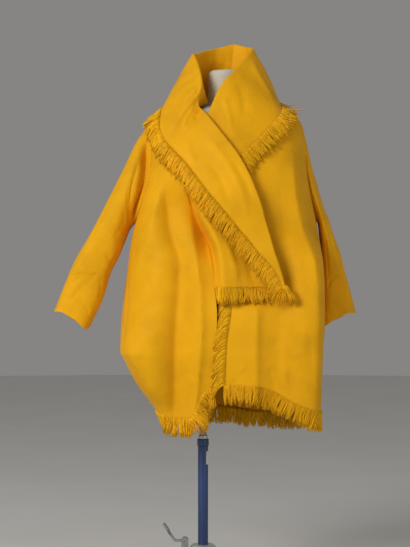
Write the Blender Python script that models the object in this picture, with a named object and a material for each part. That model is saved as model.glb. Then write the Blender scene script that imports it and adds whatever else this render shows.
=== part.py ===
"""Saffron silk coat with fringed edges, on a limbless dress form and its pedal stand.

Metres, +Z up. The origin is the middle of the base's underside, on the pole's axis. The coat's front faces -Y,
so +X is the wearer's left. The tables are in millimetres, one row for each section, edge point or fold.
"""
import math
import random
from collections import namedtuple

import bmesh
import bpy
from mathutils import Vector

MM = 0.001
DOWN = Vector((0, 0, -1))

# Cloth
WALL = 1.8 * MM
SEAM = 0.3 * MM
ARMHOLE_SEAM = 0.5 * MM
ARMHOLE_STEP = 1.5 * MM
UNDERARM_TILT = 0.6
UNDERARM_REACH = 8
ARMHOLE_STAND = 5.0 * MM
ROOT_RISE = 0.4 * MM

# Body of the coat: level rings of a rounded rectangle, from below the hem to the neckline
SQUARENESS = 2.4
BodyRow = namedtuple("BodyRow", "z left right front back")
BODY = [
    BodyRow(380, -95, 312, -165, 186),
    BodyRow(456, -124, 316, -178, 194),
    BodyRow(540, -182, 318, -194, 204),
    BodyRow(608, -217, 321, -203, 211),
    BodyRow(622, -224, 322, -204, 212),
    BodyRow(632, -224.5, 322, -204, 212),
    BodyRow(700, -220, 327, -206, 214),
    BodyRow(800, -212, 327, -203, 212),
    BodyRow(920, -197, 319, -192, 204),
    BodyRow(1030, -171, 301, -176, 190),
    BodyRow(1110, -152, 289, -158, 172),
    BodyRow(1180, -147, 281, -134, 148),
    BodyRow(1225, -150, 277, -116, 128),
    BodyRow(1250, -143, 268, -102, 112),
    BodyRow(1268, -110, 236, -92, 101),
    BodyRow(1284, -60, 190, -84, 91),
    BodyRow(1298, -9, 141, -75, 80),
]
NECKLINE = 1298 * MM
NECK_MIDDLE = 66 * MM
HEM_LEVEL = 460 * MM
LOWER_STEPS = 9
UNDERARM = 975
SHOULDER_END = 1246
UPPER_LEVELS = [UNDERARM, 1020, 1065, 1105, 1140, 1170, 1195, 1215, 1232, SHOULDER_END,
                1256, 1264, 1272, 1280, 1288, 1298]
ARMHOLE_HALF_TURN = math.radians(27)
ARMHOLE_ROUNDNESS = 0.7

# Front edges and hems, read across the front (x) or up it (z)
EdgeRow = namedtuple("EdgeRow", "z x")
RIGHT_EDGE = [EdgeRow(380, 18), EdgeRow(523, 26), EdgeRow(644, 32), EdgeRow(765, 26), EdgeRow(889, 18),
              EdgeRow(1021, -37), EdgeRow(1150, -62), EdgeRow(1230, -45), EdgeRow(1298, -4)]
LEFT_EDGE = [EdgeRow(380, 54), EdgeRow(536, 56), EdgeRow(644, 60), EdgeRow(755, 74), EdgeRow(830, 76),
             EdgeRow(1000, 64), EdgeRow(1150, 44), EdgeRow(1298, 40)]
HemRow = namedtuple("HemRow", "x z")
RIGHT_HEM = [HemRow(-124, 462), HemRow(-77, 449), HemRow(-34, 450), HemRow(-18, 474), HemRow(8, 522),
             HemRow(30, 530)]
LEFT_HEM = [HemRow(50, 540), HemRow(139, 536), HemRow(190, 520), HemRow(241, 492), HemRow(313, 465)]
BACK_HEM = [HemRow(-124, 462), HemRow(-60, 454), HemRow(40, 456), HemRow(160, 442), HemRow(260, 442),
            HemRow(313, 465)]
RIGHT_COLUMNS = 13
LEFT_COLUMNS = 14
BACK_COLUMNS = 18

# Largest folds: a ridge where height is above zero, a trough where it is below, along a line of (x, z)
FoldRow = namedtuple("FoldRow", "face line left_width right_width height")
FOLDS = [
    FoldRow("front", [(-104, 1130), (-122, 1030), (-150, 940), (-165, 850)], 24, 24, 13),
    FoldRow("front", [(-104, 1110), (-88, 954), (-60, 872), (-61, 789), (-76, 400)], 34, 70, -36),
    FoldRow("front", [(-40, 1040), (-26, 930), (-8, 800), (-4, 680), (-34, 400)], 40, 30, 18),
    FoldRow("front", [(-44, 1070), (-16, 980), (8, 920), (20, 850)], 34, 40, -12),
    FoldRow("front", [(70, 1100), (100, 960), (130, 830)], 50, 36, -16),
    FoldRow("front", [(143, 815), (143, 700), (139, 400)], 60, 20, 15),
    FoldRow("front", [(239, 1190), (250, 1037), (268, 954), (304, 780)], 20, 30, 18),
    FoldRow("front", [(206, 1090), (216, 900), (186, 400)], 34, 34, -9),
    FoldRow("back", [(-70, 1150), (-120, 380)], 30, 30, 12),
    FoldRow("back", [(-20, 1080), (-30, 380)], 26, 26, -12),
    FoldRow("back", [(70, 1170), (66, 380)], 34, 34, 10),
    FoldRow("back", [(150, 1060), (150, 380)], 26, 26, -13),
    FoldRow("back", [(205, 1150), (240, 380)], 28, 28, 12),
]
FOLD_ROUND = 0.25
FOLD_FADE = 110 * MM

# Sleeves: each ring's outer and under point, its depth in the room and its half depth
SleeveRow = namedtuple("SleeveRow", "outer_x outer_z under_x under_z y half_depth")
SLEEVE_RIGHT = [
    SleeveRow(-178, 1205, -199, 958, 2, 70),
    SleeveRow(-222, 1115, -208, 938, 0, 65),
    SleeveRow(-268, 1022, -219, 910, -4, 60),
    SleeveRow(-311, 938, -231, 880, -10, 55),
    SleeveRow(-350, 870, -252, 838, -16, 52),
    SleeveRow(-377, 806, -273, 768, -22, 50),
    SleeveRow(-404, 737, -311, 685, -26, 48),
]
SLEEVE_LEFT = [
    SleeveRow(328, 1020, 318, 962, 1, 73),
    SleeveRow(352, 962, 323, 920, 11, 66),
    SleeveRow(376, 890, 329, 862, 28, 56),
    SleeveRow(396, 828, 333, 800, 46, 52),
    SleeveRow(412, 778, 333, 748, 64, 49),
    SleeveRow(426, 729, 330, 690, 80, 47),
]
EVEN_RINGS = 3

# Folded collar: its top fold, its fringed edge and where its root meets the neckline, or None if turned under
CollarRow = namedtuple("CollarRow", "fold_x fold_y fold_z edge_x edge_y edge_z root_turn")
COLLAR_RIGHT = [
    CollarRow(88, 98, 1479, 68, 140, 1236, 180),
    CollarRow(34, 86, 1465, -10, 132, 1244, 210),
    CollarRow(0, 54, 1453, -78, 92, 1270, 240),
    CollarRow(-20, 14, 1440, -103, 34, 1294, 265),
    CollarRow(-25, -20, 1437, -111, -18, 1288, 282),
    CollarRow(-15, -50, 1408, -115, -58, 1262, 296),
    CollarRow(-6, -76, 1372, -116, -84, 1224, 309),
    CollarRow(-3, -96, 1340, -108, -106, 1200, 320),
]
COLLAR_LEFT = [
    CollarRow(88, 98, 1479, 68, 140, 1236, 180),
    CollarRow(116, 82, 1470, 148, 126, 1246, 150),
    CollarRow(131, 46, 1462, 202, 84, 1274, 118),
    CollarRow(136, 12, 1454, 212, 22, 1303, 94),
    CollarRow(124, -18, 1436, 214, -30, 1284, 76),
    CollarRow(101, -48, 1408, 205, -66, 1256, 58),
    CollarRow(81, -74, 1380, 186, -98, 1234, 42),
    CollarRow(59, -92, 1356, 160, -122, 1206, 26),
    CollarRow(40, -102, 1326, 134, -140, 1180, 10),
    CollarRow(27, -107, 1297, 117, -150, 1163, None),
    CollarRow(16, -109, 1270, 104, -156, 1150, None),
]
# Long lapel: the collar's right half running on across the chest, clear of the body by so much
LapelRow = namedtuple("LapelRow", "fold_x fold_z fold_clear edge_x edge_z edge_clear")
LAPEL = [
    LapelRow(-10, 1290, 30, -93, 1180, 20),
    LapelRow(13, 1259, 30, -70, 1155, 20),
    LapelRow(58, 1200, 31, -40, 1121, 21),
    LapelRow(98, 1145, 32, -10, 1080, 21),
    LapelRow(120, 1104, 32, 14, 1048, 21),
    LapelRow(137, 1065, 32, 36, 1022, 22),
    LapelRow(155, 1015, 32, 64, 988, 22),
    LapelRow(165, 975, 32, 88, 958, 22),
    LapelRow(177, 934, 32, 117, 924, 22),
    LapelRow(188, 894, 32, 144, 890, 23),
    LapelRow(200, 856, 32, 172, 859, 24),
    LapelRow(212, 815, 31, 196, 834, 25),
]
FOLD_RADIUS = 4.5 * MM
FOLD_ARC = (-60, 0, 60)
STAND_STEPS = 3
FALL_STEPS = 5
FALL_BULGE = 9 * MM
RETURN_WIDTH = 22 * MM
RETURN_SHARE = 0.6
FULL_WIDTH = 100 * MM
RETURN_DEPTH = 11 * MM
COLLAR_CLEAR = 9 * MM

# Wrap panel under the lapel
WRAP_TOP = 1068 * MM
WRAP_LOW = 797 * MM
WRAP_COLUMNS = 9
WRAP_CLEAR = 10 * MM
WRAP_RISE = 22 * MM
WRAP_INSIDE_FOLD = 18 * MM

# Fringe: locks on a narrow strip
STRIP = 3 * MM
LOCK_BODY = 0.36
LOCK_TIP = 0.16
LOCK_THICK = 2.4 * MM
TIP_THICK = 1.0 * MM
LENGTH_SPREAD = 0.12
LEAN_SPREAD = 0.12
COLLAR_LAY = 8 * MM
LAPEL_LAY = 16 * MM
SHOULDER_LOW = 1225 * MM
SHOULDER_RISE = 40 * MM
SHOULDER_SPREAD = 1.0
FringeSize = namedtuple("FringeSize", "pitch length droop")
LAPEL_FRINGE = FringeSize(15 * MM, 48 * MM, 1.1)
COLLAR_FRINGE = FringeSize(16 * MM, 46 * MM, 0.25)
WRAP_FRINGE = FringeSize(14 * MM, 42 * MM, 0.6)
EDGE_FRINGE = FringeSize(13 * MM, 27 * MM, 0.9)
HEM_FRINGE = FringeSize(15 * MM, 48 * MM, 0.4)
BACK_FRINGE = FringeSize(18 * MM, 46 * MM, 0.4)

# Dress form: rings of the torso and neck, and the shoulder levels that carry the coat
FormRow = namedtuple("FormRow", "z middle half front back")
TORSO = [
    FormRow(700, 45, 146, -96, 102),
    FormRow(712, 45, 158, -105, 112),
    FormRow(800, 48, 160, -108, 114),
    FormRow(860, 52, 138, -98, 102),
    FormRow(920, 56, 122, -92, 92),
    FormRow(1010, 60, 138, -104, 97),
    FormRow(1090, 64, 158, -118, 104),
    FormRow(1160, 66, 172, -112, 106),
    FormRow(1215, 66, 188, -98, 102),
]
NECK = [
    FormRow(1294, 66, 62, -58, 64),
    FormRow(1306, 66, 56, -52, 57),
    FormRow(1340, 66, 52, -48, 53),
    FormRow(1380, 66, 51, -47, 52),
    FormRow(1388, 66, 48, -44, 49),
    FormRow(1391, 66, 42, -39, 43),
]
FORM_SHOULDER_LEVELS = [SHOULDER_END, 1256, 1264, 1272, 1280]
FORM_CLEAR = 0.9 * MM
FORM_SEGMENTS = 30

# Stand
STAND_SEGMENTS = 28
POLE_RADIUS = 9.6 * MM
POLE_FOOT = 200 * MM
BORE_RADIUS = 10.0 * MM
TUBE_RADIUS = 14.0 * MM
TUBE_TOP = 360 * MM
COLLAR_RADIUS = 16.0 * MM
COLLAR_TOP = 380 * MM
RING_RADIUS = 13.0 * MM
RING_TOP = 390 * MM
STAND_CHAMFER = 1.5 * MM
HUB_RADIUS = 36 * MM
HUB_TOP = 90 * MM
HUB_EDGE = 6 * MM
BASE_RADIUS = 230 * MM
BASE_EDGE = 8 * MM
BASE_TOP = 20 * MM
SEAT = 0.3 * MM
TAG_SIZE = Vector((5, 2, 36)) * MM
TAG_MIDDLE = 329 * MM
TAG_TURN = math.radians(50)

# Foot pedal: a bent lever that rocks on trunnions between two ears on the base
PEDAL_PIVOT = Vector((-50, 0, 100)) * MM
TRUNNION_RADIUS = 3.0 * MM
TRUNNION_HALF = 13.5 * MM
BOSS_RADIUS = 9.0 * MM
BOSS_HALF = 7.5 * MM
EAR_HOLE = 3.4 * MM
EAR_RADIUS = 10.0 * MM
EAR_FOOT_SHARE = 1.5
EAR_INSIDE = 8.0 * MM
EAR_OUTSIDE = 13.0 * MM
PEDAL_SEGMENTS = 20
LeverRow = namedtuple("LeverRow", "x z half_width half_thick")
LEVER = [
    LeverRow(-5, 0, 6, 3),
    LeverRow(-27, 1, 6, 3),
    LeverRow(-40, 18, 7, 3),
    LeverRow(-47, 31, 15, 3),
    LeverRow(-58, 47, 15, 2.5),
]

# Colours, roughness and metal of each finish
Finish = namedtuple("Finish", "colour roughness metallic")
SILK = Finish((0.69, 0.352, 0.012), 0.45, 0.0)
FRINGE_SILK = Finish((0.62, 0.29, 0.01), 0.6, 0.0)
FORM_CLOTH = Finish((0.52, 0.49, 0.38), 0.85, 0.0)
WOOD = Finish((0.50, 0.30, 0.09), 0.55, 0.0)
NAVY_PAINT = Finish((0.02, 0.045, 0.13), 0.4, 0.0)
PALE_METAL = Finish((0.55, 0.56, 0.53), 0.4, 0.6)
CAST_GREY = Finish((0.30, 0.31, 0.31), 0.5, 0.7)
PALE_PLATE = Finish((0.66, 0.66, 0.60), 0.6, 0.0)


def clear_scene():
    for thing in list(bpy.data.objects):
        bpy.data.objects.remove(thing, do_unlink=True)


def smooth_column(knots, values):
    """Return a function that passes through the knots without overshooting between them."""
    spans = [(values[i + 1] - values[i]) / (knots[i + 1] - knots[i]) for i in range(len(knots) - 1)]
    slopes = [spans[0]]
    for before, after in zip(spans, spans[1:]):
        slopes.append(2 * before * after / (before + after) if before * after > 0 else 0.0)
    slopes.append(spans[-1])

    def value_at(at):
        if at <= knots[0]:
            return values[0]
        if at >= knots[-1]:
            return values[-1]
        i = max(k for k in range(len(knots) - 1) if knots[k] <= at)
        width = knots[i + 1] - knots[i]
        t = (at - knots[i]) / width
        rise = values[i + 1] - values[i]
        start = slopes[i] * width
        stop = slopes[i + 1] * width
        return values[i] + t * (start + t * (3 * rise - 2 * start - stop + t * (start + stop - 2 * rise)))

    return value_at


def columns_of(rows, key, names):
    """Smooth functions of the key column, in metres, one for each named column."""
    knots = [getattr(row, key) * MM for row in rows]
    return [smooth_column(knots, [getattr(row, name) * MM for row in rows]) for name in names]


BODY_COLUMNS = columns_of(BODY, "z", ("left", "right", "front", "back"))


def body_size(z):
    left, right, front, back = (column(z) for column in BODY_COLUMNS)
    return (left + right) / 2, (right - left) / 2, front, back


def smooth_step(t):
    t = min(max(t, 0.0), 1.0)
    return t * t * (3 - 2 * t)


def line_x(line, z):
    """Where a fold's line, listed from its top down, passes a height."""
    for (top_x, top_z), (low_x, low_z) in zip(line, line[1:]):
        if z >= low_z * MM:
            run = min((top_z * MM - z) / ((top_z - low_z) * MM), 1.0)
            return (top_x + max(run, 0.0) * (low_x - top_x)) * MM
    return line[-1][0] * MM


def fold_height(face, x, z):
    """How far the folds stand out of the body's plain ring at a place on one face."""
    total = 0.0
    for fold in FOLDS:
        if fold.face != face:
            continue
        off = x - line_x(fold.line, z)
        share = off / ((fold.left_width if off < 0 else fold.right_width) * MM)
        fade = smooth_step((fold.line[0][1] * MM - z) / FOLD_FADE)
        fade *= smooth_step((z - fold.line[-1][1] * MM) / FOLD_FADE + 0.15)
        total += fold.height * MM * fade * math.exp(FOLD_ROUND - math.hypot(share, FOLD_ROUND))
    return total


def body_point(turn, z):
    """The coat's outer surface: turn 0 is the front, +90 degrees the wearer's left."""
    middle, half, front, back = body_size(z)
    side = math.sin(turn)
    fore = math.cos(turn)
    x = middle + half * math.copysign(abs(side) ** (2 / SQUARENESS), side)
    along = abs(fore) ** (2 / SQUARENESS)
    if fore > 0:
        return Vector((x, (front - fold_height("front", x, z)) * along, z))
    return Vector((x, (back + fold_height("back", x, z)) * along, z))


def body_normal(turn, z):
    small_turn = 0.004
    small_rise = 0.5 * MM
    around = body_point(turn + small_turn, z) - body_point(turn - small_turn, z)
    upward = body_point(turn, z + small_rise) - body_point(turn, z - small_rise)
    return around.cross(upward).normalized()


def turn_at(x, z):
    """The turn at which the front of the ring at this height passes a given x."""
    middle, half, _, _ = body_size(z)
    share = min(max((x - middle) / half, -1.0), 1.0)
    return math.asin(math.copysign(abs(share) ** (SQUARENESS / 2), share))


def front_y(x, z):
    """Depth of the plain front, folds left out, at a place seen from the front."""
    middle, half, front, _ = body_size(z)
    share = min(abs(x - middle) / half, 1.0)
    return front * (1 - share ** SQUARENESS) ** (1 / SQUARENESS)


def body_ratio(x, y, z):
    middle, half, front, back = body_size(z)
    depth = back if y > 0 else -front
    return ((abs(x - middle) / half) ** SQUARENESS + (abs(y) / depth) ** SQUARENESS) ** (1 / SQUARENESS)


def push_out(place, clear):
    """Move a point off the plain body until it is clear of it by the given distance."""
    step = 1.0 * MM
    for _ in range(6):
        x, y, z = place
        if z >= NECKLINE:
            break
        slope = Vector((body_ratio(x + step, y, z) - body_ratio(x - step, y, z),
                        body_ratio(x, y + step, z) - body_ratio(x, y - step, z),
                        body_ratio(x, y, z + step) - body_ratio(x, y, z - step))) / (2 * step)
        short = clear - (body_ratio(x, y, z) - 1) / slope.length
        if short <= 0:
            break
        place = place + slope.normalized() * short
    return place


def seam_turn(turn, z, distance):
    """The change of turn that moves a point so far along its ring."""
    small_turn = 0.004
    speed = (body_point(turn + small_turn, z) - body_point(turn - small_turn, z)).length / (2 * small_turn)
    return distance / speed


def armhole_half_turn(z):
    share = (z / MM - UNDERARM) / (SHOULDER_END - UNDERARM)
    if share <= 0 or share >= 1:
        return 0.0
    return ARMHOLE_HALF_TURN * math.sin(math.pi * share) ** ARMHOLE_ROUNDNESS


def side_edge(side_degrees, toward):
    """Edge of a panel at a side seam, armhole and shoulder seam. toward is the panel's own direction."""
    side = math.radians(side_degrees)

    def turn_of(z):
        return side + toward * (armhole_half_turn(z) + seam_turn(side, z, SEAM / 2))

    return turn_of


def front_edge(rows):
    column = columns_of(rows, "z", ("x",))[0]

    def turn_of(z):
        return turn_at(column(z), z)

    return turn_of


def column_levels(hem):
    underarm = UNDERARM * MM
    lower = [hem + (underarm - hem) * i / LOWER_STEPS for i in range(LOWER_STEPS)]
    return lower + [level * MM for level in UPPER_LEVELS]


def body_panel(start, stop, hem_rows, columns):
    """Grids of outer and inner points of one panel between two edges, from its hem to the neckline."""
    hem_column = columns_of(hem_rows, "x", ("z",))[0]
    outer = []
    inner = []
    for i in range(columns + 1):
        share = i / columns
        low_turn = start(HEM_LEVEL) + (stop(HEM_LEVEL) - start(HEM_LEVEL)) * share
        hem = hem_column(body_point(low_turn, HEM_LEVEL).x)
        places = [(start(z) + (stop(z) - start(z)) * share, z) for z in column_levels(hem)]
        outer.append([body_point(turn, z) for turn, z in places])
        inner.append([body_point(turn, z) - body_normal(turn, z) * WALL for turn, z in places])
    return outer, inner


def grid_normals(grid, closed):
    """Normals of a grid of points from its neighbours, columns wrapping round if closed."""
    count = len(grid)
    normals = []
    for i in range(count):
        after = grid[(i + 1) % count] if closed else grid[min(i + 1, count - 1)]
        before = grid[i - 1] if closed else grid[max(i - 1, 0)]
        rows = len(grid[i])
        column = []
        for j in range(rows):
            along = grid[i][min(j + 1, rows - 1)] - grid[i][max(j - 1, 0)]
            column.append((after[j] - before[j]).cross(along).normalized())
        normals.append(column)
    return normals


def shell_faces(columns, rows, closed):
    """Triangles of a closed wall: outer grid first, then the inner one, then its rims."""
    inner_start = columns * rows
    faces = []

    def quad(a, b, c, d):
        faces.append((a, b, c))
        faces.append((a, c, d))

    spans = columns if closed else columns - 1
    for i in range(spans):
        k = (i + 1) % columns
        for j in range(rows - 1):
            corners = (i * rows + j, k * rows + j, k * rows + j + 1, i * rows + j + 1)
            quad(*corners)
            quad(*[inner_start + corner for corner in corners])
        for j in (0, rows - 1):
            quad(i * rows + j, k * rows + j, inner_start + k * rows + j, inner_start + i * rows + j)
    if not closed:
        for i in (0, columns - 1):
            for j in range(rows - 1):
                a = i * rows + j
                quad(a, a + 1, inner_start + a + 1, inner_start + a)
    return faces


def make_finish(name, finish):
    material = bpy.data.materials.new(name)
    material.use_nodes = True
    shader = material.node_tree.nodes["Principled BSDF"]
    shader.inputs["Base Color"].default_value = (*finish.colour, 1.0)
    shader.inputs["Roughness"].default_value = finish.roughness
    shader.inputs["Metallic"].default_value = finish.metallic
    return material


def make_node(name, points, faces, finish, place=Vector()):
    """One named object from points and faces, with its faces turned outward."""
    mesh = bpy.data.meshes.new(name)
    mesh.from_pydata([point - place for point in points], [], faces)
    solid = bmesh.new()
    solid.from_mesh(mesh)
    bmesh.ops.recalc_face_normals(solid, faces=solid.faces)
    solid.to_mesh(mesh)
    solid.free()
    mesh.materials.append(make_finish(name + "_finish", finish))
    mesh.shade_smooth()
    mesh.set_sharp_from_angle(angle=math.radians(45))
    thing = bpy.data.objects.new(name, mesh)
    thing.location = place
    bpy.context.scene.collection.objects.link(thing)
    return thing


def make_wall(name, outer, inner, finish, closed=False):
    points = [point for column in outer for point in column] + [point for column in inner for point in column]
    return make_node(name, points, shell_faces(len(outer), len(outer[0]), closed), finish)


def armhole_ring(front, back):
    """Outer and inner points of a sleeve's first two rings: shoulder, down the front, underarm, up the back.

    The first ring meets the armhole's edge. The second stands just off the body, most of all at the underarm.
    """
    low = LOWER_STEPS
    high = LOWER_STEPS + UPPER_LEVELS.index(SHOULDER_END)
    count = 2 * (high - low)
    outer = []
    inner = []

    def add(place, inside, away):
        share = (1 - math.cos(2 * math.pi * len(outer) / count)) / 2
        normal = (place - inside).normalized()
        off = place + normal * ARMHOLE_STAND * share ** 2 + away * ARMHOLE_STEP
        outer.append([place + away * ARMHOLE_SEAM, off])
        into = (-normal).lerp(away + normal * UNDERARM_TILT * share ** UNDERARM_REACH, share).normalized()
        inner.append([inside + away * ARMHOLE_SEAM, off + into * WALL])

    def add_corner(row, next_row):
        place = (front[0][row] + back[0][row]) / 2
        inside = (front[1][row] + back[1][row]) / 2
        across = (front[0][next_row] + back[0][next_row]) / 2
        add(place, inside, (across - place).normalized())

    def add_side(own, other, row):
        place = own[0][row]
        along = (own[0][row + 1] - own[0][row - 1]).normalized()
        away = (place - own[1][row]).normalized().cross(along)
        if away.dot(other[0][row] - place) < 0:
            away = -away
        add(place, own[1][row], away.normalized())

    add_corner(high, high - 1)
    for row in range(high - 1, low, -1):
        add_side(front, back, row)
    add_corner(low, low + 1)
    for row in range(low + 1, high):
        add_side(back, front, row)
    return outer, inner


def make_sleeve(name, rows, ring_outer, ring_inner):
    """A tube from the armhole to the open cuff. Its first rings keep the spacing of the armhole's points."""
    count = len(ring_outer)
    seam_rings = len(ring_outer[0])
    outer = [list(places) for places in ring_outer]
    high = ring_outer[0][0].z
    low = ring_outer[count // 2][0].z
    armhole_angles = [math.acos(min(max(2 * (places[0].z - low) / (high - low) - 1, -1.0), 1.0))
                      for places in ring_outer]
    for ring, row in enumerate(rows):
        tip = Vector((row.outer_x, row.y, row.outer_z)) * MM
        under = Vector((row.under_x, row.y, row.under_z)) * MM
        evenness = min(ring / EVEN_RINGS, 1.0)
        for i in range(count):
            even = 2 * math.pi * i / count
            matched = armhole_angles[i] if 2 * i <= count else 2 * math.pi - armhole_angles[i]
            angle = matched + (even - matched) * evenness
            ahead = Vector((0, -row.half_depth * MM * math.sin(angle), 0))
            outer[i].append((tip + under) / 2 + (tip - under) / 2 * math.cos(angle) + ahead)
    normals = grid_normals(outer, closed=True)
    middle = sum((column[-1] for column in outer), Vector()) / count
    inward = 1 if normals[0][-1].dot(middle - outer[0][-1]) > 0 else -1
    inner = []
    for i in range(count):
        walls = [outer[i][j] + normals[i][j] * inward * WALL for j in range(seam_rings, len(outer[i]))]
        inner.append(ring_inner[i] + walls)
    make_wall(name, outer, inner, SILK, closed=True)


def collar_section(fold, edge, root):
    """Points of one folded section: up the stand from its root, over the fold, down the fall to its edge."""
    to_root = (root - fold).normalized()
    to_edge = (edge - fold).normalized()
    into = (to_root + to_edge).normalized()
    across = (to_edge - to_root).normalized()
    middle = fold + into * FOLD_RADIUS
    arc = []
    for degrees in FOLD_ARC:
        angle = math.radians(degrees)
        arc.append(middle + (across * math.sin(angle) - into * math.cos(angle)) * FOLD_RADIUS)
    stand = [root.lerp(arc[0], i / STAND_STEPS) for i in range(STAND_STEPS)]
    fall = []
    bulge = FALL_BULGE * min((edge - fold).length / FULL_WIDTH, 1.0)
    for i in range(1, FALL_STEPS + 1):
        share = i / FALL_STEPS
        swell = bulge * math.sin(math.pi * share)
        fall.append(arc[-1].lerp(edge, share) + across * swell)
    return stand + arc + fall


def turned_under(fold, edge):
    """Root of a section whose under layer ends a little way in from the fold."""
    width = (edge - fold).length
    return fold.lerp(edge, min(RETURN_WIDTH / width, RETURN_SHARE)) + Vector((0, RETURN_DEPTH, 0))


def collar_rows(rows):
    """Fold, edge and root points of the standing collar."""
    places = []
    for row in rows:
        fold = Vector((row.fold_x, row.fold_y, row.fold_z)) * MM
        edge = push_out(Vector((row.edge_x, row.edge_y, row.edge_z)) * MM, COLLAR_CLEAR)
        if row.root_turn is None:
            root = turned_under(fold, edge)
        else:
            root = body_point(math.radians(row.root_turn), NECKLINE) + Vector((0, 0, ROOT_RISE))
        places.append((fold, edge, root))
    return places


def lapel_rows():
    """Fold, edge and turned-under root points of the long lapel, off the body's front."""
    places = []
    for row in LAPEL:
        fold_x, fold_z, edge_x, edge_z = (v * MM for v in (row.fold_x, row.fold_z, row.edge_x, row.edge_z))
        fold = Vector((fold_x, front_y(fold_x, fold_z) - row.fold_clear * MM, fold_z))
        edge = Vector((edge_x, front_y(edge_x, edge_z) - row.edge_clear * MM, edge_z))
        places.append((fold, edge, turned_under(fold, edge)))
    return places


def collar_grid(places, centre_back_shift):
    """Grids of outer and inner points of one half of the collar, parted from the other at the centre back."""
    shift = Vector((centre_back_shift, 0, 0))
    outer = [collar_section(*place) for place in places]
    first_fall = STAND_STEPS + len(FOLD_ARC)
    for section in outer:
        for j in range(first_fall, len(section)):
            section[j] = push_out(section[j], COLLAR_CLEAR)
    normals = grid_normals(outer, closed=False)
    top = STAND_STEPS + 1
    out = 1 if normals[0][top].z > 0 else -1
    inner = []
    for i, section in enumerate(outer):
        column = []
        for j, place in enumerate(section):
            normal = normals[i][j] * out
            if i == 0:
                normal.x = 0
                normal.normalize()
            column.append(place - normal * WALL)
        inner.append(column)
    outer[0] = [place + shift for place in outer[0]]
    inner[0] = [place + shift for place in inner[0]]
    return outer, inner


def rim_at(rim, z):
    """A place on a rim that rises row by row, on the straight line between its two rows."""
    i = max(k for k in range(len(rim) - 1) if rim[k].z <= z)
    return rim[i].lerp(rim[i + 1], (z - rim[i].z) / (rim[i + 1].z - rim[i].z))


def wrap_grid(right):
    """Grids of the wrap panel, from the right front's edge to just inside the lapel's fold."""
    outer_rim = right[0][-1]
    inner_rim = right[1][-1]
    beside_rim = right[0][-2]
    folds = sorted(LAPEL, key=lambda row: row.fold_z)
    right_column = columns_of(folds, "fold_z", ("fold_x",))[0]
    levels = [WRAP_LOW] + [place.z for place in outer_rim if WRAP_LOW < place.z < WRAP_TOP]
    outer = [[] for _ in range(WRAP_COLUMNS + 1)]
    first_inner = []
    for z in levels:
        rim = rim_at(outer_rim, z)
        away = (rim - rim_at(beside_rim, z)).normalized() * SEAM
        outer[0].append(rim + away)
        first_inner.append(rim_at(inner_rim, z) + away)
        for i in range(1, WRAP_COLUMNS + 1):
            x = rim.x + (right_column(z) - WRAP_INSIDE_FOLD - rim.x) * i / WRAP_COLUMNS
            rise = WRAP_CLEAR * smooth_step((x - rim.x) / WRAP_RISE)
            outer[i].append(Vector((x, front_y(x, z) - rise, z)))
    normals = grid_normals(outer, closed=False)
    out = 1 if normals[0][0].y < 0 else -1
    inner = [first_inner]
    for i in range(1, WRAP_COLUMNS + 1):
        inner.append([place - normals[i][j] * out * WALL for j, place in enumerate(outer[i])])
    return outer, inner


def fringe_path(rim_outer, rim_inner, away, pitch):
    """Split a rim between its own corners into stretches of about one lock each."""
    path = []
    for i in range(len(rim_outer) - 1):
        steps = max(1, round((rim_outer[i + 1] - rim_outer[i]).length / pitch))
        for k in range(steps):
            share = k / steps
            path.append((rim_outer[i].lerp(rim_outer[i + 1], share), rim_inner[i].lerp(rim_inner[i + 1], share),
                         away[i].lerp(away[i + 1], share).normalized()))
    path.append((rim_outer[-1], rim_inner[-1], away[-1]))
    return path


def make_fringe(name, rim_outer, rim_inner, away, size, lay_clear, seed):
    """Locks that stand on a narrow strip along a rim, one closed body. Laid locks keep clear of the body."""
    draw = random.Random(seed)
    path = fringe_path(rim_outer, rim_inner, away, size.pitch)
    points = []
    faces = []
    for outside, inside, direction in path:
        near = direction * SEAM
        far = direction * (SEAM + STRIP)
        points += [outside + near, inside + near, outside + far, inside + far]

    def quad(a, b, c, d):
        faces.append((a, b, c))
        faces.append((a, c, d))

    def add_ring(middle, side, thick):
        start = len(points)
        points.extend([middle - side + thick, middle + side + thick, middle + side - thick, middle - side - thick])
        return [start, start + 1, start + 2, start + 3]

    def settle(place, on_shoulder):
        if lay_clear is None:
            return place
        return push_out(place, lay_clear + (COLLAR_LAY - lay_clear) * on_shoulder)

    for i in range(len(path) - 1):
        a = 4 * i
        b = 4 * (i + 1)
        quad(a, b, b + 1, a + 1)
        quad(a, b, b + 2, a + 2)
        quad(a + 1, b + 1, b + 3, a + 3)
        root = [a + 2, b + 2, b + 3, a + 3]
        middle = sum((points[k] for k in root), Vector()) / 4
        along = points[b + 2] - points[a + 2]
        thick = (points[a + 2] - points[a + 3]).normalized()
        on_shoulder = smooth_step((middle.z - SHOULDER_LOW) / SHOULDER_RISE)
        outward = Vector((middle.x - NECK_MIDDLE, middle.y, 0)).normalized() * on_shoulder * SHOULDER_SPREAD
        direction = (path[i][2] + outward).normalized()
        droop = DOWN * size.droop * (1 - on_shoulder)
        length = size.length * (1 + draw.uniform(-LENGTH_SPREAD, LENGTH_SPREAD))
        lean = along * draw.uniform(-LEAN_SPREAD, LEAN_SPREAD)
        first = (direction + droop / 2).normalized() * length / 2
        second = (direction + droop).normalized() * length / 2
        waist = settle(middle + first + lean / 2, on_shoulder)
        tip = settle(waist + second + lean / 2, on_shoulder)
        body_ring = add_ring(waist, along * LOCK_BODY, thick * LOCK_THICK / 2)
        tip_ring = add_ring(tip, along * LOCK_TIP, thick * TIP_THICK / 2)
        for lower, upper in ((root, body_ring), (body_ring, tip_ring)):
            for k in range(4):
                n = (k + 1) % 4
                quad(lower[k], lower[n], upper[n], upper[k])
        quad(*tip_ring)
    last = 4 * (len(path) - 1)
    quad(0, 1, 3, 2)
    quad(last, last + 1, last + 3, last + 2)
    make_node(name, points, faces, FRINGE_SILK)


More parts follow.
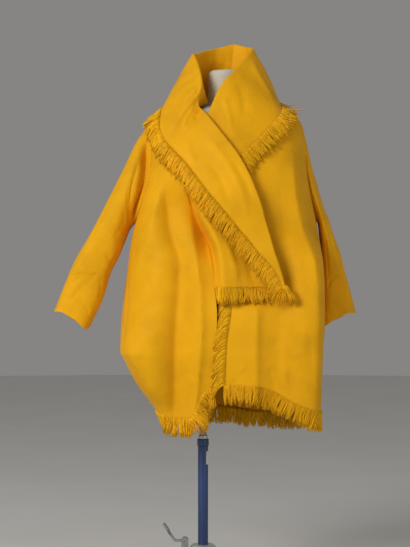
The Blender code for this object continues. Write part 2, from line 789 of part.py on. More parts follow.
def rim_away(edge, before):
    """Directions away from the cloth, square to its edge."""
    directions = []
    for i, place in enumerate(edge):
        along = (edge[min(i + 1, len(edge) - 1)] - edge[max(i - 1, 0)]).normalized()
        out = place - before[i]
        directions.append((out - along * out.dot(along)).normalized())
    return directions


def hem_fringe(name, outer, inner, size, seed):
    """Fringe that hangs from the lowest row of a panel."""
    edge = [column[0] for column in outer]
    above = [column[1] for column in outer]
    make_fringe(name, edge, [column[0] for column in inner], rim_away(edge, above), size, None, seed)


def collar_fringe(name, outer, inner, size, lay_clear, seed):
    """Fringe that lies on the body from the edge of a collar half."""
    edge = [section[-1] for section in outer]
    before = [section[-2] for section in outer]
    make_fringe(name, edge, [section[-1] for section in inner], rim_away(edge, before), size, lay_clear, seed)


def make_coat():
    left_side = side_edge(90, -1)
    right_side = side_edge(-90, 1)
    right = body_panel(right_side, front_edge(RIGHT_EDGE), RIGHT_HEM, RIGHT_COLUMNS)
    left = body_panel(front_edge(LEFT_EDGE), left_side, LEFT_HEM, LEFT_COLUMNS)
    back = body_panel(side_edge(90, 1), side_edge(270, -1), BACK_HEM, BACK_COLUMNS)
    make_wall("front_right", *right, SILK)
    make_wall("front_left", *left, SILK)
    make_wall("coat_back", *back, SILK)
    hem_fringe("fringe_hem_right", *right, HEM_FRINGE, 34)
    hem_fringe("fringe_hem_left", *left, HEM_FRINGE, 12)
    hem_fringe("fringe_hem_back", *back, BACK_FRINGE, 13)

    right_front_side = (right[0][0], right[1][0])
    right_back_side = (back[0][-1], back[1][-1])
    make_sleeve("sleeve_right", SLEEVE_RIGHT, *armhole_ring(right_front_side, right_back_side))
    left_front_side = (left[0][-1], left[1][-1])
    left_back_side = (back[0][0], back[1][0])
    make_sleeve("sleeve_left", SLEEVE_LEFT, *armhole_ring(left_front_side, left_back_side))

    wrap = wrap_grid(right)
    make_wall("wrap_panel", *wrap, SILK)
    hem_fringe("fringe_wrap", wrap[0][1:], wrap[1][1:], WRAP_FRINGE, 14)

    edge_rows = [j for j, place in enumerate(left[0][0]) if place.z < WRAP_LOW]
    edge = [left[0][0][j] for j in edge_rows]
    beside = [left[0][1][j] for j in edge_rows]
    rim_inner = [left[1][0][j] for j in edge_rows]
    make_fringe("fringe_front_edge", edge, rim_inner, rim_away(edge, beside), EDGE_FRINGE, None, 15)

    collar_right = collar_grid(collar_rows(COLLAR_RIGHT) + lapel_rows(), -SEAM / 2)
    collar_left = collar_grid(collar_rows(COLLAR_LEFT), SEAM / 2)
    make_wall("collar_right", *collar_right, SILK)
    make_wall("collar_left", *collar_left, SILK)
    collar_fringe("fringe_collar_right", *collar_right, LAPEL_FRINGE, LAPEL_LAY, 16)
    collar_fringe("fringe_collar_left", *collar_left, COLLAR_FRINGE, COLLAR_LAY, 17)


def ring_stack(name, rings, finish, closed_profile=False, place=Vector()):
    """A solid through a stack of rings with equal counts: capped ends, or a hollow body of revolution."""
    count = len(rings[0])
    points = [point for ring in rings for point in ring]
    faces = []
    spans = len(rings) if closed_profile else len(rings) - 1
    for i in range(spans):
        a = i * count
        b = ((i + 1) % len(rings)) * count
        for k in range(count):
            n = (k + 1) % count
            faces.append((a + k, a + n, b + n, b + k))
    if not closed_profile:
        faces.append(tuple(range(count)))
        faces.append(tuple((len(rings) - 1) * count + k for k in range(count)))
    return make_node(name, points, faces, finish, place)


def level_ring(radius, z, count=STAND_SEGMENTS):
    turns = [2 * math.pi * k / count for k in range(count)]
    return [Vector((radius * math.cos(turn), radius * math.sin(turn), z)) for turn in turns]


def form_ring(row):
    ring = []
    for k in range(FORM_SEGMENTS):
        turn = 2 * math.pi * k / FORM_SEGMENTS
        depth = row.front if math.cos(turn) > 0 else row.back
        ring.append(Vector((row.middle + row.half * math.sin(turn), depth * abs(math.cos(turn)), row.z)) * MM)
    return ring


def shoulder_ring(z):
    """A ring of the form just under the coat's wall."""
    turns = [2 * math.pi * k / FORM_SEGMENTS for k in range(FORM_SEGMENTS)]
    return [body_point(turn, z) - body_normal(turn, z) * (WALL + FORM_CLEAR) for turn in turns]


def make_form():
    rings = [form_ring(row) for row in TORSO]
    rings += [shoulder_ring(level * MM) for level in FORM_SHOULDER_LEVELS]
    rings += [form_ring(row) for row in NECK]
    ring_stack("form_torso", rings, FORM_CLOTH)
    pole_top = TORSO[0].z * MM - SEAT
    ring_stack("form_pole", [level_ring(POLE_RADIUS, POLE_FOOT), level_ring(POLE_RADIUS, pole_top)], WOOD)


def make_sleeve_ring(name, radius, low, high, finish):
    """A chamfered tube on the pole's axis."""
    rings = [level_ring(BORE_RADIUS, low), level_ring(radius, low),
             level_ring(radius, high - STAND_CHAMFER), level_ring(radius - STAND_CHAMFER, high),
             level_ring(BORE_RADIUS, high)]
    ring_stack(name, rings, finish, closed_profile=True)


def make_stand():
    base = [level_ring(BASE_RADIUS, 0), level_ring(BASE_RADIUS, BASE_TOP - BASE_EDGE),
            level_ring(BASE_RADIUS - BASE_EDGE, BASE_TOP)]
    ring_stack("stand_base", base, CAST_GREY)
    hub = [level_ring(HUB_RADIUS, BASE_TOP + SEAT), level_ring(HUB_RADIUS, HUB_TOP - HUB_EDGE),
           level_ring(HUB_RADIUS - HUB_EDGE, HUB_TOP)]
    ring_stack("stand_hub", hub, PALE_METAL)
    make_sleeve_ring("stand_tube", TUBE_RADIUS, HUB_TOP + SEAT, TUBE_TOP, NAVY_PAINT)
    make_sleeve_ring("stand_collar", COLLAR_RADIUS, TUBE_TOP + SEAT, COLLAR_TOP, NAVY_PAINT)
    make_sleeve_ring("stand_ring", RING_RADIUS, COLLAR_TOP + SEAT, RING_TOP, PALE_METAL)

    outward = Vector((math.sin(TAG_TURN), -math.cos(TAG_TURN), 0))
    beside = Vector((outward.y, -outward.x, 0))
    middle = outward * (TUBE_RADIUS + SEAT + TAG_SIZE.y / 2) + Vector((0, 0, TAG_MIDDLE))
    rings = []
    for rise in (-1, 1):
        level = middle + Vector((0, 0, rise * TAG_SIZE.z / 2))
        corners = ((-1, -1), (1, -1), (1, 1), (-1, 1))
        rings.append([level + beside * a * TAG_SIZE.x / 2 + outward * b * TAG_SIZE.y / 2 for a, b in corners])
    ring_stack("stand_tag", rings, PALE_PLATE)


def ear_outline(count):
    """Outline of a pedal ear about its hole: round at the top, straight sides down to the base."""
    foot = PEDAL_PIVOT.z - BASE_TOP - SEAT
    outline = []
    for k in range(count):
        turn = 2 * math.pi * k / count
        x = EAR_RADIUS * math.cos(turn)
        z = EAR_RADIUS * math.sin(turn)
        outline.append((x, z if z >= 0 else -foot * min(1.0, abs(math.sin(turn)) * EAR_FOOT_SHARE)))
    return outline


def make_ear(name, near, far):
    """A plate with a round hole for the trunnion, from one y to another."""
    outline = ear_outline(PEDAL_SEGMENTS)
    rings = []
    for y, hole in ((near, False), (far, False), (far, True), (near, True)):
        ring = []
        for k in range(PEDAL_SEGMENTS):
            turn = 2 * math.pi * k / PEDAL_SEGMENTS
            x, z = (EAR_HOLE * math.cos(turn), EAR_HOLE * math.sin(turn)) if hole else outline[k]
            ring.append(PEDAL_PIVOT + Vector((x, y, z)))
        rings.append(ring)
    ring_stack(name, rings, CAST_GREY, closed_profile=True)


def make_pedal():
    make_ear("pedal_ear_front", -EAR_INSIDE, -EAR_OUTSIDE)
    make_ear("pedal_ear_back", EAR_INSIDE, EAR_OUTSIDE)
    rings = []
    for y, radius in ((-TRUNNION_HALF, TRUNNION_RADIUS), (-BOSS_HALF, TRUNNION_RADIUS), (-BOSS_HALF, BOSS_RADIUS),
                      (BOSS_HALF, BOSS_RADIUS), (BOSS_HALF, TRUNNION_RADIUS), (TRUNNION_HALF, TRUNNION_RADIUS)):
        turns = [2 * math.pi * k / PEDAL_SEGMENTS for k in range(PEDAL_SEGMENTS)]
        rings.append([PEDAL_PIVOT + Vector((radius * math.cos(t), y, radius * math.sin(t))) for t in turns])
    lever = ring_stack("pedal_lever", rings, CAST_GREY, place=PEDAL_PIVOT)
    bars = []
    for i, row in enumerate(LEVER):
        after = LEVER[min(i + 1, len(LEVER) - 1)]
        before = LEVER[max(i - 1, 0)]
        along = Vector((after.x - before.x, 0, after.z - before.z)).normalized()
        raised = Vector((-along.z, 0, along.x)) * row.half_thick
        sides = ((-1, -1), (1, -1), (1, 1), (-1, 1))
        ring = [Vector((row.x, a * row.half_width, row.z)) + raised * b for a, b in sides]
        bars.append([PEDAL_PIVOT + corner * MM for corner in ring])
    arm = ring_stack("pedal_arm", bars, CAST_GREY, place=PEDAL_PIVOT)
    arm.hide_render = True
    arm.display_type = "WIRE"
    joined = lever.modifiers.new("arm", "BOOLEAN")
    joined.operation = "UNION"
    joined.object = arm


clear_scene()
make_coat()
make_form()
make_stand()
make_pedal()
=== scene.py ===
"""Saffron silk coat with fringed edges, on a limbless dress form and its pedal stand.

Metres, +Z up. The coat's front faces -Y, so +X is the wearer's left. The tables are in millimetres. They
follow the sections of the part's solids, with squarer front corners, deeper folds and a longer lapel.
The creases are placed one by one.
"""
import math
from collections import namedtuple

import bmesh
import bpy
import numpy as np
from bpy.props import FloatProperty, FloatVectorProperty, PointerProperty
from bpy.types import Operator, Panel, PropertyGroup
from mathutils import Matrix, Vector


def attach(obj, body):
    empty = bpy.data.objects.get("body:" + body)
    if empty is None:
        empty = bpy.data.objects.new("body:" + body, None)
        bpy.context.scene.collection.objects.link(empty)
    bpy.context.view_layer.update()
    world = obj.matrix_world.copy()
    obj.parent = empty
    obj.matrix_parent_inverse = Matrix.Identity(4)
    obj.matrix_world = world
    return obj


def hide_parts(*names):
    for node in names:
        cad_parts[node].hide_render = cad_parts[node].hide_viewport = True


bl_info = {
    "name": "Silk coat on a dress form",
    "version": (1, 0, 0),
    "blender": (4, 5, 0),
    "location": "View3D > Sidebar > Coat",
    "description": "Dresses the packed solids of a fringed silk coat, its dress form and its stand",
    "category": "Object",
}

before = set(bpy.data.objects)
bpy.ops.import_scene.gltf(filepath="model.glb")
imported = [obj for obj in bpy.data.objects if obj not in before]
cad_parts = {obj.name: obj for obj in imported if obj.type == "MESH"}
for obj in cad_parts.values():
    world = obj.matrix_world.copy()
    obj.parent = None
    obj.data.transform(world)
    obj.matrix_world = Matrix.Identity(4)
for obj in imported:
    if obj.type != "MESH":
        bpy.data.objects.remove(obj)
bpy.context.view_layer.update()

MM = 0.001
DOWN = np.array((0.0, 0.0, -1.0))


def table(kind, *rows):
    """Rows of one kind, from plain tuples."""
    return [kind(*row) for row in rows]


# Body of the coat: level rings of a rounded rectangle, from below the hem to the neckline
SQUARENESS = 2.4
# The left front hangs square to its side below the armhole, the right front only low down
CORNER_SQUARENESS = 9.0
CORNER_TOP = 960 * MM
CORNER_FADE = 180 * MM
LOW_CORNER_SQUARENESS = 4.6
LOW_CORNER_TOP = 760 * MM
LOW_CORNER_FADE = 140 * MM
BodyRow = namedtuple("BodyRow", "z left right front back")
BODY = table(
    BodyRow,
    (380, -95, 312, -165, 186),
    (456, -124, 316, -178, 194),
    (540, -182, 318, -194, 204),
    (608, -217, 321, -203, 211),
    (622, -224, 322, -204, 212),
    (632, -224.5, 322, -204, 212),
    (700, -220, 327, -206, 214),
    (800, -212, 327, -203, 212),
    (920, -197, 319, -192, 204),
    (1030, -171, 301, -176, 190),
    (1110, -152, 289, -158, 172),
    (1180, -147, 281, -134, 148),
    (1225, -150, 277, -116, 128),
    (1250, -143, 268, -102, 112),
    (1268, -110, 236, -92, 101),
    (1284, -60, 190, -84, 91),
    (1298, -9, 141, -75, 80),
)
NECKLINE = 1298 * MM
NECK_MIDDLE = 66 * MM
HEM_LEVEL = 460 * MM
UNDERARM = 975
SHOULDER_END = 1246
ARMHOLE_HALF_TURN = math.radians(15)
ARMHOLE_ROUNDNESS = 0.7

# Front edges and hems, read across the front (x) or up it (z)
EdgeRow = namedtuple("EdgeRow", "z x")
RIGHT_EDGE = table(EdgeRow, (380, 18), (523, 26), (644, 34), (730, 37), (775, 33), (889, 18),
                   (1021, -37), (1150, -62), (1230, -45), (1298, -4))
LEFT_EDGE = table(EdgeRow, (380, 54), (536, 56), (644, 60), (755, 74), (830, 76), (1000, 64),
                  (1150, 44), (1298, 40))
HemRow = namedtuple("HemRow", "x z")
RIGHT_HEM = table(HemRow, (-124, 462), (-77, 449), (-34, 450), (-18, 474), (8, 522), (30, 530))
LEFT_HEM = table(HemRow, (50, 540), (139, 536), (190, 520), (241, 492), (313, 465))
BACK_HEM = table(HemRow, (-124, 462), (-60, 454), (40, 456), (160, 442), (260, 442), (313, 465))

# Largest folds: a line down the panel as (x, z) pairs, a ridge where height is above zero, a trough where
# it is below. The two widths are those of its flanks toward -X and +X
Pleat = namedtuple("Pleat", "face line left_width right_width height")
PLEATS = table(
    Pleat,
    ("front", [(-104, 1130), (-122, 1030), (-150, 940), (-165, 850)], 24, 24, 13),
    ("front", [(-104, 1110), (-96, 1037), (-88, 954), (-60, 872), (-61, 789), (-71, 680), (-76, 400)],
     34, 70, -46),
    ("front", [(-40, 1040), (-26, 930), (-8, 800), (-4, 680), (-16, 520), (-34, 400)], 40, 14, 18),
    ("front", [(-44, 1080), (-14, 985), (10, 920), (20, 850)], 30, 40, -50),
    ("front", [(70, 1120), (100, 960), (130, 830), (136, 740)], 64, 50, -44),
    ("front", [(143, 815), (143, 700), (142, 600), (139, 400)], 60, 16, 15),
    ("front", [(239, 1190), (250, 1037), (268, 954), (296, 872), (304, 780)], 18, 30, 18),
    ("front", [(300, 840), (305, 700), (304, 560), (300, 400)], 60, 20, 20),
    ("front", [(206, 1090), (216, 900), (196, 640), (186, 400)], 34, 34, -9),
    ("back", [(-70, 1150), (-120, 380)], 30, 30, 12),
    ("back", [(-20, 1080), (-30, 380)], 26, 26, -12),
    ("back", [(70, 1170), (66, 380)], 34, 34, 10),
    ("back", [(150, 1060), (150, 380)], 26, 26, -13),
    ("back", [(205, 1150), (240, 380)], 28, 28, 12),
)
PLEAT_ROUND = 0.25
FOLD_FADE = 110 * MM
FOLD_FOOT = 0.15

# Sleeves: each ring's outer and under point, its depth in the room and its half depth
SleeveRow = namedtuple("SleeveRow", "outer_x outer_z under_x under_z y half_depth")
SLEEVE_RIGHT = table(
    SleeveRow,
    (-178, 1205, -199, 958, 4, 56),
    (-222, 1115, -208, 938, 4, 56),
    (-268, 1022, -219, 910, -2, 56),
    (-311, 938, -231, 880, -10, 55),
    (-350, 870, -252, 838, -16, 52),
    (-377, 806, -273, 768, -22, 50),
    (-404, 737, -311, 685, -26, 48),
)
SLEEVE_LEFT = table(
    SleeveRow,
    (328, 1020, 318, 962, 6, 58),
    (352, 962, 323, 920, 14, 58),
    (376, 890, 329, 862, 28, 56),
    (396, 828, 333, 800, 46, 52),
    (412, 778, 333, 748, 64, 49),
    (426, 729, 330, 690, 80, 47),
)
EVEN_RINGS = 3

# Folded collar: its top fold, its fringed edge and the turn in degrees where its root meets the neckline.
# Where that is None, the under layer ends near the fold
CollarRow = namedtuple("CollarRow", "fold_x fold_y fold_z edge_x edge_y edge_z root_turn")
COLLAR_RIGHT = table(
    CollarRow,
    (88, 98, 1479, 68, 140, 1236, 180),
    (34, 86, 1465, -10, 132, 1244, 210),
    (0, 54, 1453, -78, 92, 1270, 240),
    (-20, 14, 1440, -103, 34, 1294, 265),
    (-25, -20, 1437, -111, -18, 1288, 282),
    (-15, -50, 1408, -115, -58, 1262, 296),
    (-6, -76, 1372, -116, -84, 1224, 309),
    (-3, -96, 1340, -108, -106, 1200, 320),
)
COLLAR_LEFT = table(
    CollarRow,
    (88, 98, 1479, 68, 140, 1236, 180),
    (116, 82, 1470, 148, 126, 1246, 150),
    (131, 46, 1462, 202, 84, 1274, 118),
    (136, 12, 1454, 212, 22, 1303, 94),
    (124, -18, 1436, 214, -30, 1284, 76),
    (101, -48, 1408, 205, -66, 1256, 58),
    (81, -74, 1380, 186, -98, 1234, 42),
    (59, -92, 1356, 160, -122, 1206, 26),
    (40, -102, 1326, 134, -140, 1180, 10),
    (27, -107, 1297, 117, -150, 1163, None),
    (16, -109, 1270, 104, -156, 1150, None),
    (2, -111, 1243, 90, -162, 1132, None),
)
# Long lapel: the collar's right half running on across the chest, clear of the body by so much
LapelRow = namedtuple("LapelRow", "fold_x fold_z fold_clear edge_x edge_z edge_clear")
LAPEL = table(
    LapelRow,
    (-10, 1290, 30, -93, 1180, 20),
    (13, 1259, 30, -70, 1155, 20),
    (58, 1200, 29, -40, 1121, 20),
    (98, 1145, 27, -10, 1080, 20),
    (120, 1104, 26, 14, 1048, 20),
    (137, 1065, 25, 36, 1022, 21),
    (155, 1015, 24, 64, 988, 21),
    (165, 975, 24, 88, 958, 21),
    (177, 934, 24, 117, 924, 22),
    (188, 894, 24, 144, 890, 22),
    (200, 858, 24, 172, 861, 22),
    (209, 827, 24, 194, 829, 23),
    (216, 799, 24, 206, 799, 23),
)
FOLD_RADIUS = 4.5 * MM
FALL_BULGE = 2 * MM
RETURN_WIDTH = 22 * MM
RETURN_SHARE = 0.6
FULL_WIDTH = 100 * MM
RETURN_DEPTH = 11 * MM
COLLAR_CLEAR = 9 * MM

# Wrap panel under the lapel
WRAP_TOP = 1068 * MM
WRAP_LOW = 797 * MM
WRAP_CLEAR = 10 * MM
WRAP_RISE = 22 * MM
WRAP_INSIDE_FOLD = 18 * MM

# Fringe: its length, how much it droops, its layers of threads and how far it is held off the body, or None
# where it hangs free
LENGTH_SPREAD = 0.12
COLLAR_LAY = 8 * MM
LAPEL_LAY = 16 * MM
SHOULDER_LOW = 1225 * MM
SHOULDER_RISE = 40 * MM
SHOULDER_SPREAD = 1.0
FringeSize = namedtuple("FringeSize", "length droop layers lay")
LAPEL_FRINGE = FringeSize(48 * MM, 1.1, 3, LAPEL_LAY)
COLLAR_FRINGE = FringeSize(46 * MM, 0.25, 3, COLLAR_LAY)
WRAP_FRINGE = FringeSize(42 * MM, 0.6, 3, None)
EDGE_FRINGE = FringeSize(50 * MM, 1.8, 4, None)
HEM_FRINGE = FringeSize(48 * MM, 0.4, 4, None)
BACK_FRINGE = FringeSize(46 * MM, 0.4, 4, None)
FRINGE_SEED = 21
TINT_SEED = 100

# Dress form: rings of the torso and neck, and the shoulder levels that carry the coat
FormRow = namedtuple("FormRow", "z middle half front back")
TORSO = table(
    FormRow,
    (700, 45, 146, -96, 102),
    (712, 45, 158, -105, 112),
    (800, 48, 160, -108, 114),
    (860, 52, 138, -98, 102),
    (920, 56, 122, -92, 92),
    (1010, 60, 138, -104, 97),
    (1090, 64, 158, -118, 104),
    (1160, 66, 172, -112, 106),
    (1215, 66, 188, -98, 102),
)
NECK = table(
    FormRow,
    (1294, 66, 62, -58, 64),
    (1306, 66, 56, -52, 57),
    (1340, 66, 52, -48, 53),
    (1380, 66, 51, -47, 52),
    (1388, 66, 48, -44, 49),
    (1391, 66, 42, -39, 43),
)
FORM_SHOULDER_LEVELS = [SHOULDER_END, 1256, 1264, 1272, 1280]
FORM_CLEAR = 0.9 * MM

# Stand
POLE_RADIUS = 9.6 * MM
POLE_FOOT = 200 * MM
BORE_RADIUS = 10.0 * MM
TUBE_RADIUS = 14.0 * MM
TUBE_TOP = 360 * MM
COLLAR_RADIUS = 16.0 * MM
COLLAR_TOP = 380 * MM
RING_RADIUS = 13.0 * MM
RING_TOP = 390 * MM
STAND_CHAMFER = 1.5 * MM
HUB_RADIUS = 36 * MM
HUB_TOP = 90 * MM
HUB_EDGE = 6 * MM
BASE_RADIUS = 230 * MM
BASE_EDGE = 8 * MM
BASE_TOP = 20 * MM
FOOT_BEVEL = 1 * MM
SEAT = 0.3 * MM

# Creases of the thin cloth: a ridge where height is above zero, a trough where it is below. crisp runs from
# 0 to 1. On the body they are read across the front or back (x, z)
Crease = namedtuple("Crease", "from_u from_v to_u to_v half_width height crisp")
FRONT_CREASES = table(
    Crease,
    (-101, 1112, -158, 915, 9, 2.5, 1), (-130, 1170, -96, 1106, 9, -3, 0.3),
    (-142, 1124, -108, 1050, 10, -2, 0.3), (-206, 654, -118, 474, 15, 3, 0.5),
    (-188, 740, -150, 560, 18, -2.4, 0), (-128, 870, -168, 650, 18, 2.6, 0.3),
    (-34, 650, -8, 540, 9, 2.4, 0.6), (-48, 560, -20, 480, 7, -2.6, 0.5),
    (-160, 1010, -182, 860, 12, -2, 0.2), (-78, 968, -52, 900, 8, 2.6, 0.6),
    (-40, 880, -70, 820, 7, -1.8, 0.6), (137, 764, 138, 534, 7, 2, 1),
    (78, 542, 104, 580, 6, -2.6, 0.6), (84, 548, 112, 600, 5, 2, 0.6),
    (210, 585, 228, 545, 6, 2.4, 0.7), (176, 590, 190, 530, 7, -2.4, 0.5),
    (256, 900, 264, 560, 17, 2, 0.4), (214, 650, 222, 500, 11, 2, 0.6),
    (290, 700, 284, 490, 13, -2, 0.2), (232, 1226, 182, 1120, 12, -2.5, 0.2),
    (160, 940, 210, 880, 12, -2.4, 0.2),
)
BACK_CREASES = table(
    Crease,
    (-60, 1180, -122, 800, 15, 4, 0.5), (-108, 760, -132, 466, 13, -4, 0.3),
    (20, 1130, 8, 700, 18, -4, 0.2), (60, 905, 64, 464, 13, 4.4, 1),
    (118, 1150, 142, 820, 16, 4, 0.5), (150, 790, 162, 456, 13, -4, 0.2),
    (222, 1130, 262, 760, 16, -3, 0.2), (208, 710, 232, 466, 11, 4, 1),
    (-20, 700, -42, 464, 11, 3, 0.6), (264, 650, 282, 480, 13, 3, 0.4),
    (100, 640, 106, 456, 10, -3, 0.3), (-150, 640, -100, 480, 14, 3, 0.5),
    (-10, 1210, 66, 1180, 10, -2.4, 0.2), (120, 1212, 190, 1176, 10, -2.6, 0.2),
)
# On a side of the body: degrees round it and height
SIDE_CREASES = table(
    Crease,
    (-98, 900, -84, 640, 3.5, 3.5, 0.6), (-76, 860, -72, 600, 3.5, -3, 0.2),
    (-112, 820, -106, 560, 3.5, -3.5, 0.2), (84, 880, 80, 560, 3.5, -3.5, 0.3),
    (104, 820, 100, 520, 3.5, -3.5, 0.2),
)
# On a sleeve: degrees round it from its outer line by the front, and hundredths of its length
SLEEVE_RIGHT_CREASES = table(
    Crease,
    (44, 3.4, 164, 3.2, 16, -21, 0.2), (66, 7, 112, 14, 7, -4, 0.8),
    (96, 14, 84, 56, 16, 4, 0.8), (112, 20, 104, 44, 12, -1.8, 0.4),
    (40, 18, 54, 60, 13, -2.6, 0.3), (104, 66, 72, 94, 3, -2.4, 1),
    (24, 77, 108, 67, 7, 4, 0.9), (30, 84, 84, 74, 9, -2.4, 0.3),
    (40, 88, 78, 92, 4, -2.2, 0.8), (84, 88, 128, 92, 4, -2.4, 0.8),
    (78, 93, 120, 96, 3, 1.6, 0.8), (122, 70, 140, 86, 8, -1.6, 0.4),
    (140, 40, 150, 72, 10, -2.4, 0.3), (96, 55, 150, 60, 9, -2.0, 0.5),
    (104, 62, 150, 66, 8, 1.6, 0.5), (232, 18, 252, 52, 13, 4, 0.6),
    (280, 38, 264, 80, 13, -4, 0.3), (312, 14, 300, 46, 13, 3, 0.4),
    (214, 58, 262, 68, 9, -4, 0.6), (322, 68, 290, 96, 12, 3, 0.4),
)
SLEEVE_LEFT_CREASES = table(
    Crease,
    (48, 3, 164, 4, 11, -9, 0.2), (62, 20, 80, 62, 14, -4, 0.3),
    (28, 48, 62, 92, 13, 4, 0.8), (100, 36, 122, 80, 12, -3, 0.3),
    (18, 14, 36, 46, 13, 3, 0.4), (300, 30, 280, 76, 13, -4, 0.3),
    (250, 20, 240, 60, 13, 4, 0.6), (330, 54, 310, 94, 12, -3, 0.3),
    (200, 55, 242, 63, 9, -3, 0.5), (84, 70, 130, 76, 8, -3, 0.6),
)
# On a collar half: length along its fold from the centre back, and depth from the fold down its fall. The
# stand is below zero
COLLAR_RIGHT_CREASES = table(
    Crease,
    (264, 3, 232, 82, 8, -4.5, 0.5), (366, -4, 390, 46, 7, -7, 0.7),
    (322, 10, 296, 74, 5, -5, 0.9), (306, 8, 280, 70, 8, 3.6, 0.6),
    (348, 20, 372, 84, 9, 3.4, 0.5), (450, 30, 760, 52, 12, 3.2, 0.5),
    (500, 84, 700, 76, 11, -2.6, 0.2), (400, 88, 520, 112, 11, 3, 0.4),
    (560, 22, 700, 26, 9, -2.2, 0.3), (20, 40, 50, 205, 15, 4.4, 0.5),
    (90, 26, 118, 186, 13, -4.4, 0.3), (166, 40, 152, 150, 12, 3.4, 0.5),
    (200, 30, 186, 120, 10, -3, 0.3), (60, -18, 110, -120, 9, 3.6, 0.8),
    (150, -20, 120, -110, 9, -3.2, 0.4), (12, -30, 60, -130, 10, -3, 0.4),
)
COLLAR_LEFT_CREASES = table(
    Crease,
    (150, 16, 188, 152, 14, 4, 0.5), (240, 28, 290, 122, 12, -3.2, 0.3),
    (50, 36, 72, 205, 15, -4.4, 0.3), (100, 30, 112, 160, 12, 3.4, 0.5),
    (300, 24, 340, 100, 10, 2.6, 0.4), (96, -16, 34, -120, 10, 7, 1),
    (60, -12, 16, -90, 9, -6, 0.4), (120, -10, 96, -110, 9, -6, 0.4),
    (140, -30, 100, -120, 10, -3, 0.4),
)
WRAP_CREASES = table(
    Crease,
    (10, 980, 40, 810, 10, -3, 0.3), (60, 930, 96, 805, 11, 3, 0.6),
    (110, 880, 140, 805, 10, -2.6, 0.3), (150, 860, 168, 806, 9, 2.4, 0.5),
)
CREASE_RISE = 0.22
CREASE_FALL = 0.30
CREASE_WANDER = 0.35
CREASE_BENDS = 5.0
CREASE_SHIFT = 2.1
CRISP_ROUND = 0.2
CRISP_SPREAD = 0.7
CALM_NECK = 60 * MM
SLEEVE_DEGREE = 0.95
SLEEVE_HUNDREDTH = 6.0
RIPPLE = 0.9 * MM
RIPPLE_PITCH = 55 * MM
RIPPLE_TURNS = (0.4, 2.2)
# Two waves that cross, as their rates across, along and by the turn, and one that bends
RIPPLE_WAVES = ((1.1, 0.6, 1), (0.5, -0.9, 2))
RIPPLE_BEND = (1.9, 1.4, 0.7)
RIPPLE_BEND_SHARE = 0.6

# Fine make of the cloth. WALL is the thicker wall of the solids, which the dress form clears
WALL = 1.8 * MM
PUSH_STEP = 1.0 * MM
PUSH_ROUNDS = 5
SEAM_CLOSE = 0.003
FIRST_EVEN = 3
HEM_ROWS = 110
ARM_ROWS = 56
SHOULDER_ROWS = 24
RIGHT_FINE = 84
LEFT_FINE = 90
BACK_FINE = 130
SEAM_ROLL = 0.9 * MM
SEAM_ROLL_WIDTH = 3 * MM
SLEEVE_ROWS = 130
SLEEVE_CALM = 14 * MM
SLEEVE_SQUARENESS = 3.4
CUFF_WAVE = 5 * MM
CUFF_WAVES = 3
CUFF_PHASE = 0.7
CUFF_WAVE_LENGTH = 70 * MM
CUFF_HEM = 16 * MM
HEM_GROOVE = 0.7 * MM
HEM_GROOVE_WIDTH = 4 * MM
COLLAR_STEP = 6 * MM
COLLAR_CALM = 25 * MM
FINE_ARC = (-70, -52, -35, -17, 0, 17, 35, 52, 70)
FINE_STAND = 14
FINE_FALL = 30
FOLD_TOP = FINE_STAND + len(FINE_ARC) // 2
FIRST_FALL = FINE_STAND + len(FINE_ARC)
WRAP_ROWS = 60
WRAP_FINE = 60
WRAP_CREST = table(EdgeRow, (797, 86), (870, 72), (950, 46), (1068, 10))
WRAP_FALL = 3 * MM
WRAP_FRINGE_END = 178 * MM
WRAP_FALL_WIDTH = 22 * MM
WRAP_DROP = 8 * MM
WRAP_LEAN = 20 * MM
WRAP_FRINGE_LEAN = 0.75
WRAP_LEAN_WIDTH = 120 * MM
WRAP_DROP_LOW = 6 * MM
WRAP_DROP_HIGH = 14 * MM
WRAP_DROP_FROM = 800 * MM
WRAP_DROP_OVER = 120 * MM
WRAP_DROP_END = 6 * MM
WRAP_DROP_FADE = 26 * MM
# Five more roots of threads round the lapel's tip: steps from it in millimetres, and the way each leads
TIP_STEPS = [(0, 1, 0), (6, 0, -4), (-4, -1, 1), (7, -2, 3), (4, -3, -4)]
TIP_LEANS = [(0.1, 0.1, -1.0), (0.6, 0.1, -0.8), (1.0, 0.1, -0.5), (0.7, 0.0, -0.7), (1.2, 0.1, -0.2)]

# Threads of the fringe, and the stitches that stay its edge
SHOULDER_DROOP = 0.45
THREAD_STEPS = 5
THREAD_ROOT = 1.5 * MM
THREAD_TAPER = 0.4
TAPER_POWER = 5
DROOP_RATE = 1.2
LAY_START = 0.6
THREAD_LEAN = 1.6 * MM
THREAD_SWAY = 2.4 * MM
SWAY_SPREAD = (0.4, 1.0)
SWAY_TURNS = (5, 4)
THREAD_STACK = 4.5 * MM
LOCK_PITCH = 8 * MM
LOCK_WIDTHS = (0.6, 1.4)
LOCK_REACH = (0.9, 1.08)
LOCK_PULL = 0.45
LOCK_CURL = 1.9 * MM
LOCK_BEND = 4.2
WISP_SHARE = 0.05
WISP_FROM = 0.5
WISP_DROOP = (-0.9, 0.2)
WISP_REACH = 1.15
STITCH_INSET = 4 * MM
STITCH_PITCH = 4.2 * MM
STITCH_LENGTH = 2.8 * MM
STITCH_RADIUS = 0.38 * MM
# Each ring of a stitch: its place along it, its rise and its width, as shares
STITCH_RINGS = ((-0.5, 0.1, 0.35), (-0.22, 0.8, 1.0), (0.22, 0.8, 1.0), (0.5, 0.1, 0.35))

